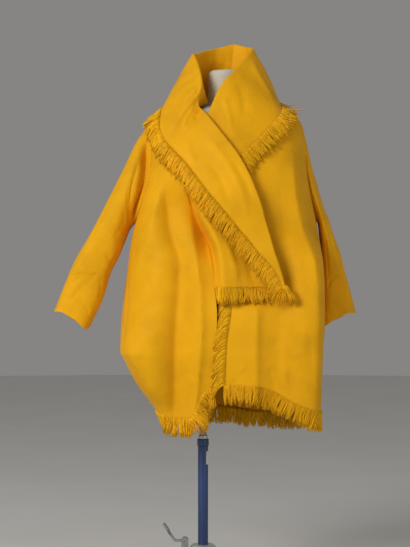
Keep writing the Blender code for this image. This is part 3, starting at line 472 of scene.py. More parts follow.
# Dress form, turned pieces and rounded edges
FORM_FINE = 96
FORM_ROWS = 110
NECK_SEAM = 1302 * MM
NECK_SEAM_DEPTH = 0.8 * MM
NECK_SEAM_WIDTH = 1.2 * MM
END_SHARES = (0.97, 0.6, 0.2)
LATHE_SEGMENTS = 96
LATHE_CORNER = 5
CORNER_LIMIT = 0.45
POLE_CORNER = 0.5 * MM
CAST_CORNER = 3 * MM
PLATE_EDGE = 0.5 * MM
BEVEL_STEPS = 3
BEVEL_ANGLE = math.radians(35)

# Ribs of the silk, and its shine
RIB_PERIOD = 1.2 * MM
SILK_SHINE = {"Sheen_Roughness": 0.4, "Sheen_Tint": (1.0, 0.7, 0.2, 1.0),
              "Specular_IOR_Level": 0.18, "Specular_Tint": (1.0, 0.8, 0.4, 1.0)}

# Camera, level and square to the front. ROW_HEIGHT is that of one row of the picture, at the form
CAMERA_AWAY = 4.5
CAMERA_SENSOR = 36.0
PICTURE_ROWS = 547
ROW_HEIGHT = 2.75 * MM
PICTURE_MIDDLE_X = 5.5 * MM
PICTURE_MIDDLE_Z = 834.6 * MM
# Floor, just under the base
FLOOR_RADIUS = 9.0
FLOOR_SIDES = 96
FLOOR_LEVEL = -0.2 * MM
# Lights: place, target and size
KEY_LIGHT = ((-3.1, -3.6, 3.0), (0.0, 0.0, 0.8), 2.2)
FILL_LIGHT = ((3.0, -2.4, 1.4), (0.05, 0.0, 0.8), 2.4)
ROOM_COLOUR = (0.92, 0.90, 0.87, 1.0)


def smooth_line(knots, values, free=False):
    """A curve through the knots, for one or more columns of values. Unless free, it never overshoots."""
    knots = np.asarray(knots, float)
    values = np.asarray(values, float)
    flat = values.ndim == 1
    columns = values[:, None] if flat else values
    widths = np.diff(knots)[:, None]
    spans = np.diff(columns, axis=0) / widths
    before, after = spans[:-1], spans[1:]
    if free:
        middle = (before * widths[1:] + after * widths[:-1]) / (widths[1:] + widths[:-1])
    else:
        product = before * after
        total = np.where(product > 0, before + after, 1.0)
        middle = np.where(product > 0, 2 * product / total, 0.0)
    slopes = np.concatenate([spans[:1], middle, spans[-1:]])

    def value_at(at):
        at = np.clip(np.asarray(at, float), knots[0], knots[-1])
        i = np.clip(np.searchsorted(knots, at, side="right") - 1, 0, len(knots) - 2)
        width = knots[i + 1] - knots[i]
        t = ((at - knots[i]) / width)[..., None]
        rise = columns[i + 1] - columns[i]
        start = slopes[i] * width[..., None]
        stop = slopes[i + 1] * width[..., None]
        found = columns[i] + t * (start + t * (3 * rise - 2 * start - stop + t * (start + stop - 2 * rise)))
        return found[..., 0] if flat else found

    return value_at


def line_of(rows, key, name):
    """A smooth line of one column over another, in metres."""
    return smooth_line([getattr(row, key) * MM for row in rows], [getattr(row, name) * MM for row in rows])


def coat():
    """The coat's own settings."""
    return bpy.context.scene.silk_coat


def smooth_step(t):
    t = np.clip(t, 0.0, 1.0)
    return t * t * (3 - 2 * t)


def unit(vectors):
    return vectors / np.maximum(np.linalg.norm(vectors, axis=-1, keepdims=True), 1e-12)


BODY_LINES = [line_of(BODY, "z", side) for side in ("left", "right", "front", "back")]


def body_size(z):
    """Middle, half width, front and back of the body's ring at a height."""
    left, right, front, back = (line(z) for line in BODY_LINES)
    return (left + right) / 2, (right - left) / 2, front, back


def run_along(places, axis=0):
    """Distance run at each point of a line, or at each point of a grid along one of its axes."""
    steps = np.linalg.norm(np.diff(places, axis=axis), axis=-1)
    return np.concatenate([np.zeros_like(steps.take([0], axis)), np.cumsum(steps, axis=axis)], axis=axis)


def squareness(side, fore, z):
    """How square a ring is in one quarter: squarer in front, on the left side and low on the right."""
    left = smooth_step((CORNER_TOP - z) / CORNER_FADE) * (side > 0) * (fore > 0)
    right = smooth_step((LOW_CORNER_TOP - z) / LOW_CORNER_FADE) * (side <= 0) * (fore > 0)
    added = (CORNER_SQUARENESS - SQUARENESS) * left + (LOW_CORNER_SQUARENESS - SQUARENESS) * right
    return SQUARENESS + added


def large_folds(face, x, z):
    """How far the largest folds stand out of the plain body."""
    total = np.zeros_like(x)
    for pleat in PLEATS:
        if pleat.face != face:
            continue
        line = np.array(sorted(pleat.line, key=lambda place: place[1])) * MM
        off = x - np.interp(z, line[:, 1], line[:, 0])
        share = off / np.where(off < 0, pleat.left_width * MM, pleat.right_width * MM)
        shape = np.exp(PLEAT_ROUND - np.sqrt(share ** 2 + PLEAT_ROUND ** 2))
        fade = smooth_step((line[-1, 1] - z) / FOLD_FADE)
        fade = fade * smooth_step((z - line[0, 1]) / FOLD_FADE + FOLD_FOOT)
        total = total + pleat.height * MM * fade * shape
    return total


def creases_at(rows, u, v):
    """Height of a set of creases on a flat chart of the cloth, all in metres."""
    total = np.zeros_like(u)
    for number, row in enumerate(rows):
        along = np.array((row.to_u - row.from_u, row.to_v - row.from_v)) * MM
        length = math.hypot(*along)
        along = along / length
        across = (u - row.from_u * MM) * -along[1] + (v - row.from_v * MM) * along[0]
        run = ((u - row.from_u * MM) * along[0] + (v - row.from_v * MM) * along[1]) / length
        width = row.half_width * MM
        off = across + width * CREASE_WANDER * np.sin(CREASE_BENDS * run + CREASE_SHIFT * number)
        soft = np.exp(-(off / width) ** 2)
        sharp = np.exp(-(np.sqrt((off / width) ** 2 + CRISP_ROUND ** 2) - CRISP_ROUND) / CRISP_SPREAD)
        fade = smooth_step(run / CREASE_RISE) * smooth_step((1 - run) / CREASE_FALL)
        total = total + row.height * MM * fade * (soft + (sharp - soft) * row.crisp)
    return total


def ripple(u, v, turn):
    """Slow uneven waves of a crisp cloth."""
    a = u / RIPPLE_PITCH
    b = v / RIPPLE_PITCH
    one, two = (np.sin(across * a + along * b + start * turn) for across, along, start in RIPPLE_WAVES)
    rate, bend, drift = RIPPLE_BEND
    bent = np.sin(rate * a + bend * np.sin(drift * b + turn))
    return RIPPLE * (one * two + RIPPLE_BEND_SHARE * bent)


def charted(rows, u_size, v_size):
    """Creases in degrees and hundredths, as lengths on a flat chart."""
    return [row._replace(from_u=row.from_u * u_size, to_u=row.to_u * u_size, from_v=row.from_v * v_size,
                         to_v=row.to_v * v_size) for row in rows]


def body_grid(turn, z, creased=True):
    """The coat's outer surface: turn 0 is the front, +90 degrees the wearer's left."""
    middle, half, front, back = body_size(z)
    side = np.sin(turn)
    fore = np.cos(turn)
    share = np.abs(side) ** (2 / SQUARENESS)
    x = middle + half * np.sign(side) * share
    power = squareness(side, fore, z)
    along = np.maximum(1 - share ** power, 0.0) ** (1 / power)
    ahead = fore > 0
    relief = np.where(ahead, large_folds("front", x, z), large_folds("back", x, z))
    if creased:
        scale = coat().crease_scale
        calm = smooth_step((NECKLINE - z) / CALM_NECK)
        small = np.where(ahead, creases_at(FRONT_CREASES, x, z), creases_at(BACK_CREASES, x, z))
        relief = relief + scale * calm * (small + ripple(x, z, np.where(ahead, *RIPPLE_TURNS)))
        round_it = np.degrees(np.where(turn > math.pi, turn - 2 * math.pi, turn)) * MM
        x = x + np.sign(side) * scale * calm * creases_at(SIDE_CREASES, round_it, z)
    y = np.where(ahead, (front - relief) * along, (back + relief) * along)
    return np.stack([x, y, z + np.zeros_like(x)], axis=-1)


def front_y(x, z):
    """Depth of the plain front, folds left out, at a place seen from the front."""
    middle, half, front, _ = body_size(z)
    share = np.minimum(np.abs(x - middle) / half, 1.0)
    power = squareness(x - middle, 1.0, z)
    return front * (1 - share ** power) ** (1 / power)


def turn_at(x, z):
    """Turn round the body at a place seen from the front."""
    middle, half, _, _ = body_size(z)
    share = np.clip((x - middle) / half, -1.0, 1.0)
    return np.arcsin(np.sign(share) * np.abs(share) ** (SQUARENESS / 2))


def body_ratio(places):
    """How far out points are: 1 on the plain body, more outside it."""
    x, y, z = np.moveaxis(places, -1, 0)
    middle, half, front, back = body_size(z)
    depth = np.where(y > 0, back, -front)
    power = squareness(x - middle, -y, z)
    total = (np.abs(x - middle) / half) ** power + (np.abs(y) / depth) ** power
    return total ** (1 / power)


def push_out(places, clear):
    """Move points off the plain body until they are clear of it by the given distance."""
    for _ in range(PUSH_ROUNDS):
        rises = [body_ratio(places + step) - body_ratio(places - step) for step in np.eye(3) * PUSH_STEP]
        slope = np.stack(rises, axis=-1) / (2 * PUSH_STEP)
        steep = np.linalg.norm(slope, axis=-1)
        short = np.maximum(clear - (body_ratio(places) - 1) / steep, 0.0)
        short = np.where(places[..., 2] >= NECKLINE, 0.0, short)
        places = places + slope / steep[..., None] * short[..., None]
    return places


def armhole_half_turn(z):
    """Half the width of the armhole at a height, as a turn round the body."""
    share = np.clip((z / MM - UNDERARM) / (SHOULDER_END - UNDERARM), 0.0, 1.0)
    return ARMHOLE_HALF_TURN * np.sin(math.pi * share) ** ARMHOLE_ROUNDNESS


def side_edge(degrees, toward):
    """Edge of a panel at a side seam, armhole and shoulder seam. toward is the panel's own direction."""
    return lambda z: math.radians(degrees) + toward * armhole_half_turn(z)


def front_edge(rows):
    """Edge of a front panel, from the table of its places."""
    line = line_of(rows, "z", "x")
    return lambda z: turn_at(line(z), z)


def seam_shares(columns):
    """Even shares across a panel, with two close to each edge for the roll of its seam."""
    even = [i / columns for i in range(1, columns)]
    return np.array([0.0, SEAM_CLOSE, SEAM_CLOSE * 3] + even + [1 - SEAM_CLOSE * 3, 1 - SEAM_CLOSE, 1.0])


def panel_levels(hem):
    """Heights of each column from its hem, by the armhole, to the neckline."""
    under = UNDERARM * MM
    end = SHOULDER_END * MM
    rise = np.linspace(0, 1, HEM_ROWS, endpoint=False)
    lower = hem[:, None] + (under - hem[:, None]) * rise
    arm = under + (end - under) * (1 - np.cos(np.linspace(0, math.pi, ARM_ROWS, endpoint=False))) / 2
    top = np.linspace(end, NECKLINE, SHOULDER_ROWS)
    upper = np.tile(np.concatenate([arm, top]), (len(hem), 1))
    return np.concatenate([lower, upper], axis=1)


def body_panel(start, stop, hem_rows, columns, seams):
    """Grid of one panel's outer points. seams says which of its two edges roll in to a seam."""
    shares = seam_shares(columns)
    low_turn = start(HEM_LEVEL) + (stop(HEM_LEVEL) - start(HEM_LEVEL)) * shares
    low_x = body_grid(low_turn, HEM_LEVEL + 0 * low_turn, False)[:, 0]
    z = panel_levels(line_of(hem_rows, "x", "z")(low_x))
    turn = start(z) + (stop(z) - start(z)) * shares[:, None]
    places = body_grid(turn, z)
    run = run_along(places)
    roll = np.zeros_like(run)
    for rolled, distance in zip(seams, (run, run[-1:] - run)):
        if rolled:
            roll = roll + np.exp(-distance / SEAM_ROLL_WIDTH)
    return places - grid_normals(places) * (roll * SEAM_ROLL)[..., None]


def grid_normals(places, closed=False):
    """Outward normals of a grid whose columns run round and whose rows run up."""
    if closed:
        around = np.roll(places, -1, axis=0) - np.roll(places, 1, axis=0)
    else:
        around = np.gradient(places, axis=0)
    return unit(np.cross(around, np.gradient(places, axis=1)))


def make_mesh(name, points, faces, materials, face_slots=None, uvs=None, sharp=40, solid=True):
    """One named object. uvs are one pair for each point. A solid's faces are turned outward."""
    mesh = bpy.data.meshes.new(name)
    mesh.from_pydata(np.asarray(points, float).tolist(), [], faces)
    for material in materials:
        mesh.materials.append(material)
    if face_slots is not None:
        mesh.polygons.foreach_set("material_index", np.asarray(face_slots, np.int32))
    if uvs is not None:
        corners = np.empty(len(mesh.loops), np.int32)
        mesh.loops.foreach_get("vertex_index", corners)
        layer = mesh.uv_layers.new(name="cloth")
        layer.data.foreach_set("uv", np.asarray(uvs, np.float32)[corners].ravel())
    mesh.shade_smooth()
    mesh.set_sharp_from_angle(angle=math.radians(sharp))
    if solid:
        face_outward(mesh)
    thing = bpy.data.objects.new(name, mesh)
    bpy.context.scene.collection.objects.link(thing)
    return thing


def face_outward(mesh):
    """Turn all faces of a closed piece outward."""
    solid = bmesh.new()
    solid.from_mesh(mesh)
    bmesh.ops.recalc_face_normals(solid, faces=solid.faces)
    solid.to_mesh(mesh)
    solid.free()


def cloth_lengths(places):
    """Lengths across and along the cloth at each point of a grid, for its weave."""
    across = run_along(places).mean(axis=1, keepdims=True) + np.zeros(places.shape[:2])
    return np.stack([across, run_along(places, 1)], axis=-1)


def make_shell(name, outer, inner, closed=False):
    """A thin closed wall of silk: its outer face, its inner face and its rims."""
    columns, rows = outer.shape[:2]
    count = columns * rows
    faces = []
    slots = []
    spans = columns if closed else columns - 1
    for i in range(spans):
        a = i * rows
        b = (i + 1) % columns * rows
        for j in range(rows - 1):
            faces.append((a + j, b + j, b + j + 1, a + j + 1))
            faces.append((count + a + j, count + a + j + 1, count + b + j + 1, count + b + j))
            slots += [0, 1]
        for j in (0, rows - 1):
            faces.append((a + j, count + a + j, count + b + j, b + j))
            slots.append(0)
    if not closed:
        for i in (0, columns - 1):
            for j in range(rows - 1):
                a = i * rows + j
                faces.append((a, a + 1, count + a + 1, count + a))
                slots.append(0)
    points = np.concatenate([outer.reshape(-1, 3), inner.reshape(-1, 3)])
    lengths = cloth_lengths(outer).reshape(-1, 2)
    # The inner faces take the darker wrong-side silk: painted shade for the inside of the coat
    finish = (silk_finish(), silk_inside_shade_finish())
    return make_mesh(name, points, faces, finish, slots, np.concatenate([lengths, lengths]))


def dress(thing, node, body):
    """A visible piece takes the place of its solid and moves with its body."""
    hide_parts(node)
    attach(thing, body)


def armhole_ring(front, back):
    """Points round an armhole from the shoulder: down the front, by the underarm, up the back."""
    low = HEM_ROWS
    high = HEM_ROWS + ARM_ROWS
    shoulder = (front[high] + back[high]) / 2
    underarm = (front[low] + back[low]) / 2
    return np.concatenate([[shoulder], front[high - 1:low:-1], [underarm], back[low + 1:high]])


def sleeve_grid(rows, ring, creases):
    """Grid of a sleeve's outer points, from its armhole to its open cuff."""
    count = len(ring)
    even = 2 * math.pi * np.arange(count) / count
    high = ring[0, 2]
    low = ring[count // 2, 2]
    matched = np.arccos(np.clip(2 * (ring[:, 2] - low) / (high - low) - 1, -1.0, 1.0))
    matched = np.where(even <= math.pi, matched, 2 * math.pi - matched)
    rings = [ring]
    for number, row in enumerate(rows):
        outer = np.array((row.outer_x, row.y, row.outer_z)) * MM
        under = np.array((row.under_x, row.y, row.under_z)) * MM
        evened = min(number / EVEN_RINGS, 1.0)
        angle = matched + (even - matched) * evened
        power = 2 / (2 + (SLEEVE_SQUARENESS - 2) * evened)
        outward = np.sign(np.cos(angle)) * np.abs(np.cos(angle)) ** power
        forward = np.sign(np.sin(angle)) * np.abs(np.sin(angle)) ** power
        ahead = np.array((0.0, -row.half_depth * MM, 0.0))
        middle = (outer + under) / 2
        rings.append(middle + outward[:, None] * (outer - under) / 2 + forward[:, None] * ahead)
    rings = np.array(rings)
    knots = run_along(rings).mean(axis=1)
    at = np.linspace(0.0, knots[-1], SLEEVE_ROWS)
    places = smooth_line(knots, rings.reshape(len(rings), -1), free=True)(at)
    places = places.reshape(SLEEVE_ROWS, count, 3).transpose(1, 0, 2)
    normals = tube_normals(places)
    share = at / knots[-1]
    u = np.degrees(even)[:, None] * SLEEVE_DEGREE * MM + 0 * share
    v = 100 * share * SLEEVE_HUNDREDTH * MM + 0 * u
    chart = charted(creases, SLEEVE_DEGREE, SLEEVE_HUNDREDTH)
    relief = creases_at(chart, u, v) * smooth_step(at / SLEEVE_CALM) * coat().crease_scale
    to_cuff = knots[-1] - at
    relief = relief - HEM_GROOVE * np.exp(-((to_cuff - CUFF_HEM) / HEM_GROOVE_WIDTH) ** 2)
    roll = SEAM_ROLL * np.exp(-at / SEAM_ROLL_WIDTH)
    wave = CUFF_WAVE * np.sin(CUFF_WAVES * even + CUFF_PHASE)
    onward = unit(places[:, -1] - places[:, -2]) * wave[:, None]
    waved = smooth_step((CUFF_WAVE_LENGTH - to_cuff) / CUFF_WAVE_LENGTH)
    return places + normals * (relief - roll)[..., None] + onward[:, None] * waved[:, None]


def tube_normals(places):
    """Outward normals of a tube of closed rings."""
    normals = grid_normals(places, closed=True)
    outward = places - places.mean(axis=0, keepdims=True)
    return normals if (normals * outward).sum() > 0 else -normals


def turned_under(fold, edge):
    """Root of a section whose under layer ends a little way in from the fold."""
    share = np.minimum(RETURN_WIDTH / np.linalg.norm(edge - fold), RETURN_SHARE)
    return fold + (edge - fold) * share + np.array((0, RETURN_DEPTH, 0))


def collar_rows(rows):
    """Fold, edge and root of each section of the standing collar."""
    places = []
    for row in rows:
        fold = np.array((row.fold_x, row.fold_y, row.fold_z)) * MM
        edge = push_out(np.array((row.edge_x, row.edge_y, row.edge_z)) * MM, COLLAR_CLEAR)
        if row.root_turn is None:
            root = turned_under(fold, edge)
        else:
            root = body_grid(np.array(math.radians(row.root_turn)), np.array(NECKLINE), False)
        places.append(np.concatenate([fold, edge, root]))
    return places


def lapel_rows():
    """Fold, edge and turned-under root of each section of the long lapel, off the body's front."""
    places = []
    for row in LAPEL:
        fold_x, fold_z, fold_clear, edge_x, edge_z, edge_clear = (value * MM for value in row)
        fold = np.array((fold_x, front_y(fold_x, fold_z) - fold_clear, fold_z))
        edge = np.array((edge_x, front_y(edge_x, edge_z) - edge_clear, edge_z))
        places.append(np.concatenate([fold, edge, turned_under(fold, edge)]))
    return places


def collar_grid(rows, creases):
    """Grid of one collar half's outer points: up the stand, over the fold and down the fall."""
    rows = np.array(rows)
    knots = run_along(rows[:, :3])
    along = np.linspace(0.0, knots[-1], int(knots[-1] / COLLAR_STEP) + 1)
    fine = smooth_line(knots, rows, free=True)(along)
    fold, edge, root = fine[:, :3], fine[:, 3:6], fine[:, 6:]
    to_root = unit(root - fold)
    to_edge = unit(edge - fold)
    into = unit(to_root + to_edge)
    across = unit(to_edge - to_root)
    middle = fold + into * FOLD_RADIUS
    arc = [middle + (across * math.sin(angle) - into * math.cos(angle)) * FOLD_RADIUS
           for angle in np.radians(FINE_ARC)]
    stand = [root + (arc[0] - root) * i / FINE_STAND for i in range(FINE_STAND)]
    width = np.linalg.norm(edge - fold, axis=-1, keepdims=True)
    bulge = FALL_BULGE * np.minimum(width / FULL_WIDTH, 1.0)
    fall = [arc[-1] + (edge - arc[-1]) * share + across * bulge * math.sin(math.pi * share)
            for share in np.linspace(0, 1, FINE_FALL + 1)[1:]]
    places = np.array(stand + arc + fall).transpose(1, 0, 2)
    places[:, FIRST_FALL:] = push_out(places[:, FIRST_FALL:], COLLAR_CLEAR)
    run = run_along(places, 1)
    v = run - run[:, FOLD_TOP:FOLD_TOP + 1]
    u = along[:, None] + 0 * v
    calm = smooth_step(u / COLLAR_CALM) * smooth_step(run / COLLAR_CALM)
    relief = calm * creases_at(creases, u, v) * coat().crease_scale
    return places + collar_normals(places) * relief[..., None]


def collar_normals(places):
    """Outward normals of a collar half: up at the top of its fold."""
    normals = grid_normals(places)
    return normals if normals[0, FOLD_TOP, 2] > 0 else -normals


def wrap_grid():
    """Grid of the wrap panel's outer points, from the right front's edge to inside the lapel."""
    z = np.linspace(WRAP_LOW, WRAP_TOP, WRAP_ROWS)
    rim_x = line_of(RIGHT_EDGE, "z", "x")(z)
    rim_y = body_grid(turn_at(rim_x, z), z)[:, 1]
    fold_x = line_of(sorted(LAPEL, key=lambda row: row.fold_z), "fold_z", "fold_x")(z)
    share = np.linspace(0, 1, WRAP_FINE)[:, None]
    x = rim_x + (fold_x - WRAP_INSIDE_FOLD - rim_x) * share
    level = z + 0 * x
    off_rim = x - rim_x
    free = smooth_step(off_rim / WRAP_RISE)
    y = front_y(x, level) - WRAP_CLEAR * free + (rim_y - front_y(rim_x, z)) * (1 - free)
    past = smooth_step((x - line_of(WRAP_CREST, "z", "x")(level)) / WRAP_FALL_WIDTH)
    inside = smooth_step(off_rim / WRAP_DROP)
    inside = inside * (1 - smooth_step((off_rim - WRAP_DROP_END) / WRAP_DROP_FADE))
    drop = WRAP_DROP_LOW + WRAP_DROP_HIGH * smooth_step((level - WRAP_DROP_FROM) / WRAP_DROP_OVER)
    lean = WRAP_LEAN * smooth_step(off_rim / WRAP_LEAN_WIDTH)
    y = y + WRAP_FALL * past + drop * inside + lean
    y = y - free * creases_at(WRAP_CREASES, x, level) * coat().crease_scale
    return np.stack([x, y, level], axis=-1)


def along_line(places, values, distances):
    """Values given at the points of a polyline, at distances along it."""
    run = run_along(places)
    return np.stack([np.interp(distances, run, column) for column in values.T], axis=-1)


def rim_away(edge, before):
    """Directions away from the cloth, square to its edge."""
    along = unit(np.gradient(edge, axis=0))
    out = edge - before
    return unit(out - along * (out * along).sum(axis=-1, keepdims=True))


def thread_points(edge, away, size, seed):
    """Centre lines of the fringe's threads, root to tip, gathered a little into locks."""
    draw = np.random.default_rng(seed)
    total = run_along(edge)[-1]
    count = int(total / coat().thread_spacing) * size.layers
    at = (np.arange(count) + draw.uniform(0, 1, count)) * total / count
    root = along_line(edge, edge, at)
    tangent = unit(along_line(edge, np.gradient(edge, axis=0), at))
    direction = unit(along_line(edge, away, at))
    on_shoulder = smooth_step((root[:, 2:] - SHOULDER_LOW) / SHOULDER_RISE)
    outward = unit((root - np.array((NECK_MIDDLE, 0, 0))) * np.array((1, 1, 0)))
    direction = unit(direction + outward * on_shoulder * SHOULDER_SPREAD)
    droop = DOWN * (size.droop * (1 - on_shoulder) + SHOULDER_DROOP * on_shoulder)
    # More locks are drawn than the edge has room for
    lock_edges = np.cumsum(draw.uniform(*LOCK_WIDTHS, int(total / LOCK_PITCH * 2) + 4)) * LOCK_PITCH
    lock = np.searchsorted(lock_edges, at)
    lock_middle = lock_edges[lock] - LOCK_PITCH / 2
    pull = (lock_middle - at)[:, None] * LOCK_PULL + draw.normal(0, THREAD_LEAN, count)[:, None]
    lock_reach = draw.uniform(*LOCK_REACH, len(lock_edges) + 1)[lock]
    curl = draw.normal(0, LOCK_CURL, (2, len(lock_edges) + 1))[:, lock]
    pull = pull + curl[0][:, None]
    length = size.length * lock_reach * (1 + draw.uniform(-LENGTH_SPREAD, LENGTH_SPREAD, count))
    high = (on_shoulder[:, 0] > WISP_FROM) & (root[:, 0] > NECK_MIDDLE)
    wisp = (draw.uniform(0, 1, count) < WISP_SHARE) & high
    droop = np.where(wisp[:, None], DOWN * draw.uniform(*WISP_DROOP, (count, 1)), droop)
    length = np.where(wisp, length * WISP_REACH, length)
    facing = unit(np.cross(tangent, direction))
    phase = draw.uniform(0, 2 * math.pi, (2, count))
    sway = draw.uniform(*SWAY_SPREAD, (2, count)) * THREAD_SWAY
    lift = draw.uniform(-0.5, 0.5, count)[:, None] * THREAD_STACK
    place = root - direction * THREAD_ROOT + facing * lift
    lines = [place]
    step = (length / THREAD_STEPS)[:, None]
    for k in range(THREAD_STEPS):
        share = (k + 1) / THREAD_STEPS
        heading = unit(direction + droop * min(share * DROOP_RATE, 1.0))
        place = place + heading * step + tangent * pull / THREAD_STEPS * 2 * share
        swing = sway * np.sin(np.array(SWAY_TURNS)[:, None] * share + phase)
        bend = curl[1] * np.sin(LOCK_BEND * share)
        wave = tangent * (swing[0] + bend)[:, None] + facing * swing[1][:, None]
        settled = place + wave * share
        if size.lay is not None:
            clear = size.lay + (COLLAR_LAY - size.lay) * on_shoulder[:, 0]
            settled = push_out(settled, clear * min(1.0, LAY_START + share) + lift[:, 0])
        lines.append(settled)
    return np.array(lines).transpose(1, 0, 2), tangent


def bar_faces(count, rows, sides):
    """Faces of many closed bars, each of so many rings of so many points."""
    start = (np.arange(count) * rows * sides)[:, None, None]
    ring = start + (np.arange(rows - 1) * sides)[None, :, None]
    corner = np.arange(sides)
    after = (corner + 1) % sides
    walls = np.stack([ring + corner, ring + after, ring + after + sides, ring + corner + sides], axis=-1)
    first = start[:, 0] + corner[::-1]
    last = start[:, 0] + (rows - 1) * sides + corner
    return walls.reshape(-1, 4).tolist() + np.concatenate([first, last]).tolist()


def thread_mesh(name, lines, side, seed):
    """Three-sided tapering threads along their centre lines, as one piece."""
    draw = np.random.default_rng(seed)
    count, rows = lines.shape[:2]
    heading = unit(np.gradient(lines, axis=1))
    across = unit(np.cross(heading, np.cross(side[:, None], heading)))
    facing = np.cross(heading, across)
    run = np.linspace(0, 1, rows)
    taper = coat().thread_radius * (1 - THREAD_TAPER * run ** TAPER_POWER)[None, :, None]
    corners = [lines + taper * (across * math.sin(turn) + facing * math.cos(turn))
               for turn in (0, 2 * math.pi / 3, 4 * math.pi / 3)]
    points = np.stack(corners, axis=2).reshape(-1, 3)
    tint = np.repeat(draw.uniform(0, 1, count), rows * 3)
    uvs = np.stack([tint, np.tile(np.repeat(run, 3), count)], axis=-1)
    return make_mesh(name, points, bar_faces(count, rows, 3), (fringe_finish(),), uvs=uvs, sharp=180)


def make_fringe(name, edge, away, size, seed):
    """Threads along one edge, in the place of the solids' coarse locks."""
    lines, side = thread_points(edge, away, size, seed)
    threads = thread_mesh("threads_" + name, lines, side, seed + TINT_SEED)
    dress(threads, "fringe_" + name, "form")


def stitch_row(edge, before, normals):
    """Small raised stitches that stay a fringed edge, just inside it: their points, in rings of four."""
    bed = edge + unit(before - edge) * STITCH_INSET
    total = run_along(bed)[-1]
    count = int(total / STITCH_PITCH)
    at = (np.arange(count) + 0.5) * total / count
    middle = along_line(bed, bed, at)
    along = unit(along_line(bed, np.gradient(bed, axis=0), at))
    up = unit(along_line(bed, normals, at))
    over = np.cross(up, along)
    rings = []
    for share, rise, wide in STITCH_RINGS:
        core = middle + along * STITCH_LENGTH * share + up * STITCH_RADIUS * rise
        size = STITCH_RADIUS * wide
        rings.append(np.stack([core + way * size for way in (over, up, -over, -up)], axis=1))
    return np.stack(rings, axis=1)


def stitches_mesh(name, rows):
    """All stitches as one piece."""
    blocks = np.concatenate(rows)
    faces = bar_faces(*blocks.shape[:3])
    return make_mesh(name, blocks.reshape(-1, 3), faces, (stitch_finish(),), sharp=60)


def form_ring(row):
    """One ring of the dress form's own table."""
    turn = 2 * math.pi * np.arange(FORM_FINE) / FORM_FINE
    depth = np.where(np.cos(turn) > 0, row.front, row.back)
    x = row.middle + row.half * np.sin(turn)
    return np.stack([x, depth * np.abs(np.cos(turn)), np.full(FORM_FINE, row.z)], axis=-1) * MM


def shoulder_ring(level):
    """One ring of the dress form just under the coat's wall."""
    turn = 2 * math.pi * np.arange(FORM_FINE) / FORM_FINE
    levels = np.array((level - 1.0, level, level + 1.0)) * MM
    places = body_grid(turn[:, None] + 0 * levels, levels + 0 * turn[:, None], False)
    return (places - grid_normals(places, closed=True) * (WALL + FORM_CLEAR))[:, 1]


def make_dress_form(name):
    """The limbless torso and neck, smooth through their rings, with a seam round the neck."""
    rings = [form_ring(row) for row in TORSO]
    rings += [shoulder_ring(level) for level in FORM_SHOULDER_LEVELS]
    rings += [form_ring(row) for row in NECK]
    rings = np.array(rings)
    knots = rings[:, :, 2].mean(axis=1)
    # More rows on the rings near both ends and in the seam, where the form turns tightly
    ends = np.concatenate([knots[1:3], knots[-5:-1]])
    seam = [NECK_SEAM - MM, NECK_SEAM, NECK_SEAM + MM]
    levels = np.linspace(knots[0], knots[-1], FORM_ROWS)
    levels = np.sort(np.concatenate([levels, ends, seam]))
    fine = smooth_line(knots, rings.reshape(len(rings), -1))(levels).reshape(len(levels), FORM_FINE, 3)
    middle = fine.mean(axis=1, keepdims=True)
    groove = NECK_SEAM_DEPTH * np.exp(-((levels - NECK_SEAM) / NECK_SEAM_WIDTH) ** 2)
    fine = fine - unit(fine - middle) * groove[:, None, None]
    return stack_rings(name, fine, form_cloth_finish())


def ring_faces(levels, count, closed=False):
    """Faces between rings of points, each ring on from the one before."""
    faces = []
    for i in range(levels if closed else levels - 1):
        a = i * count
        b = (i + 1) % levels * count
        for k in range(count):
            n = (k + 1) % count
            faces.append((a + k, a + n, b + n, b + k))
    return faces


def stack_rings(name, rings, material):
    """A closed solid through a stack of rings, its two ends filled by shrinking rings."""
    ends = []
    for ring in (rings[0], rings[-1]):
        middle = ring.mean(axis=0)
        ends.append([middle + (ring - middle) * share for share in END_SHARES])
    rings = np.array(ends[0][::-1] + list(rings) + ends[1])
    levels, count = rings.shape[:2]
    faces = ring_faces(levels, count)
    faces += [tuple(range(count)), tuple(range((levels - 1) * count, levels * count))]
    return make_mesh(name, rings.reshape(-1, 3), faces, (material,), sharp=50)


def rounded(profile, radius, closed):
    """Profile corners of (radius, height), each rounded. An open profile keeps its two ends."""
    points = np.array(profile, float)
    last = len(points) - 1
    result = []
    for i, corner in enumerate(points):
        if not closed and i in (0, last):
            result.append(corner)
            continue
        sides = (points[i - 1] - corner, points[(i + 1) % len(points)] - corner)
        cut = min(radius, *(np.linalg.norm(side) * CORNER_LIMIT for side in sides))
        start, stop = (corner + unit(side) * cut for side in sides)
        for t in np.linspace(0, 1, LATHE_CORNER):
            result.append(start * (1 - t) ** 2 + 2 * corner * t * (1 - t) + stop * t ** 2)
    return result


def turned_rings(profile):
    turn = 2 * math.pi * np.arange(LATHE_SEGMENTS) / LATHE_SEGMENTS
    round_it = np.stack([np.cos(turn), np.sin(turn), np.zeros(LATHE_SEGMENTS)], axis=-1)
    return np.array([round_it * r + np.array((0, 0, z)) for r, z in profile])


def turned_tube(name, radius, low, high, material):
    """A turned tube on the pole's axis, with its edges rounded."""
    corners = [(BORE_RADIUS, low), (radius, low), (radius, high), (BORE_RADIUS, high)]
    rings = turned_rings(rounded(corners, STAND_CHAMFER, closed=True))
    faces = ring_faces(*rings.shape[:2], closed=True)
    return make_mesh(name, rings.reshape(-1, 3), faces, (material,), sharp=60)


def turned_solid(name, profile, corner, material):
    """A turned solid on the pole's axis, from the foot of its profile to its top."""
    return stack_rings(name, turned_rings(rounded(profile, corner, closed=False)), material)


def soften_node(node, material, width):
    """A solid kept as it is, with its edges rounded and its finish on."""
    thing = bpy.data.objects[node]
    for place in thing.material_slots:
        place.material = material
    edge = thing.modifiers.new("rounded edges", "BEVEL")
    edge.width = width
    edge.segments = BEVEL_STEPS
    edge.limit_method = "ANGLE"
    edge.angle_limit = BEVEL_ANGLE


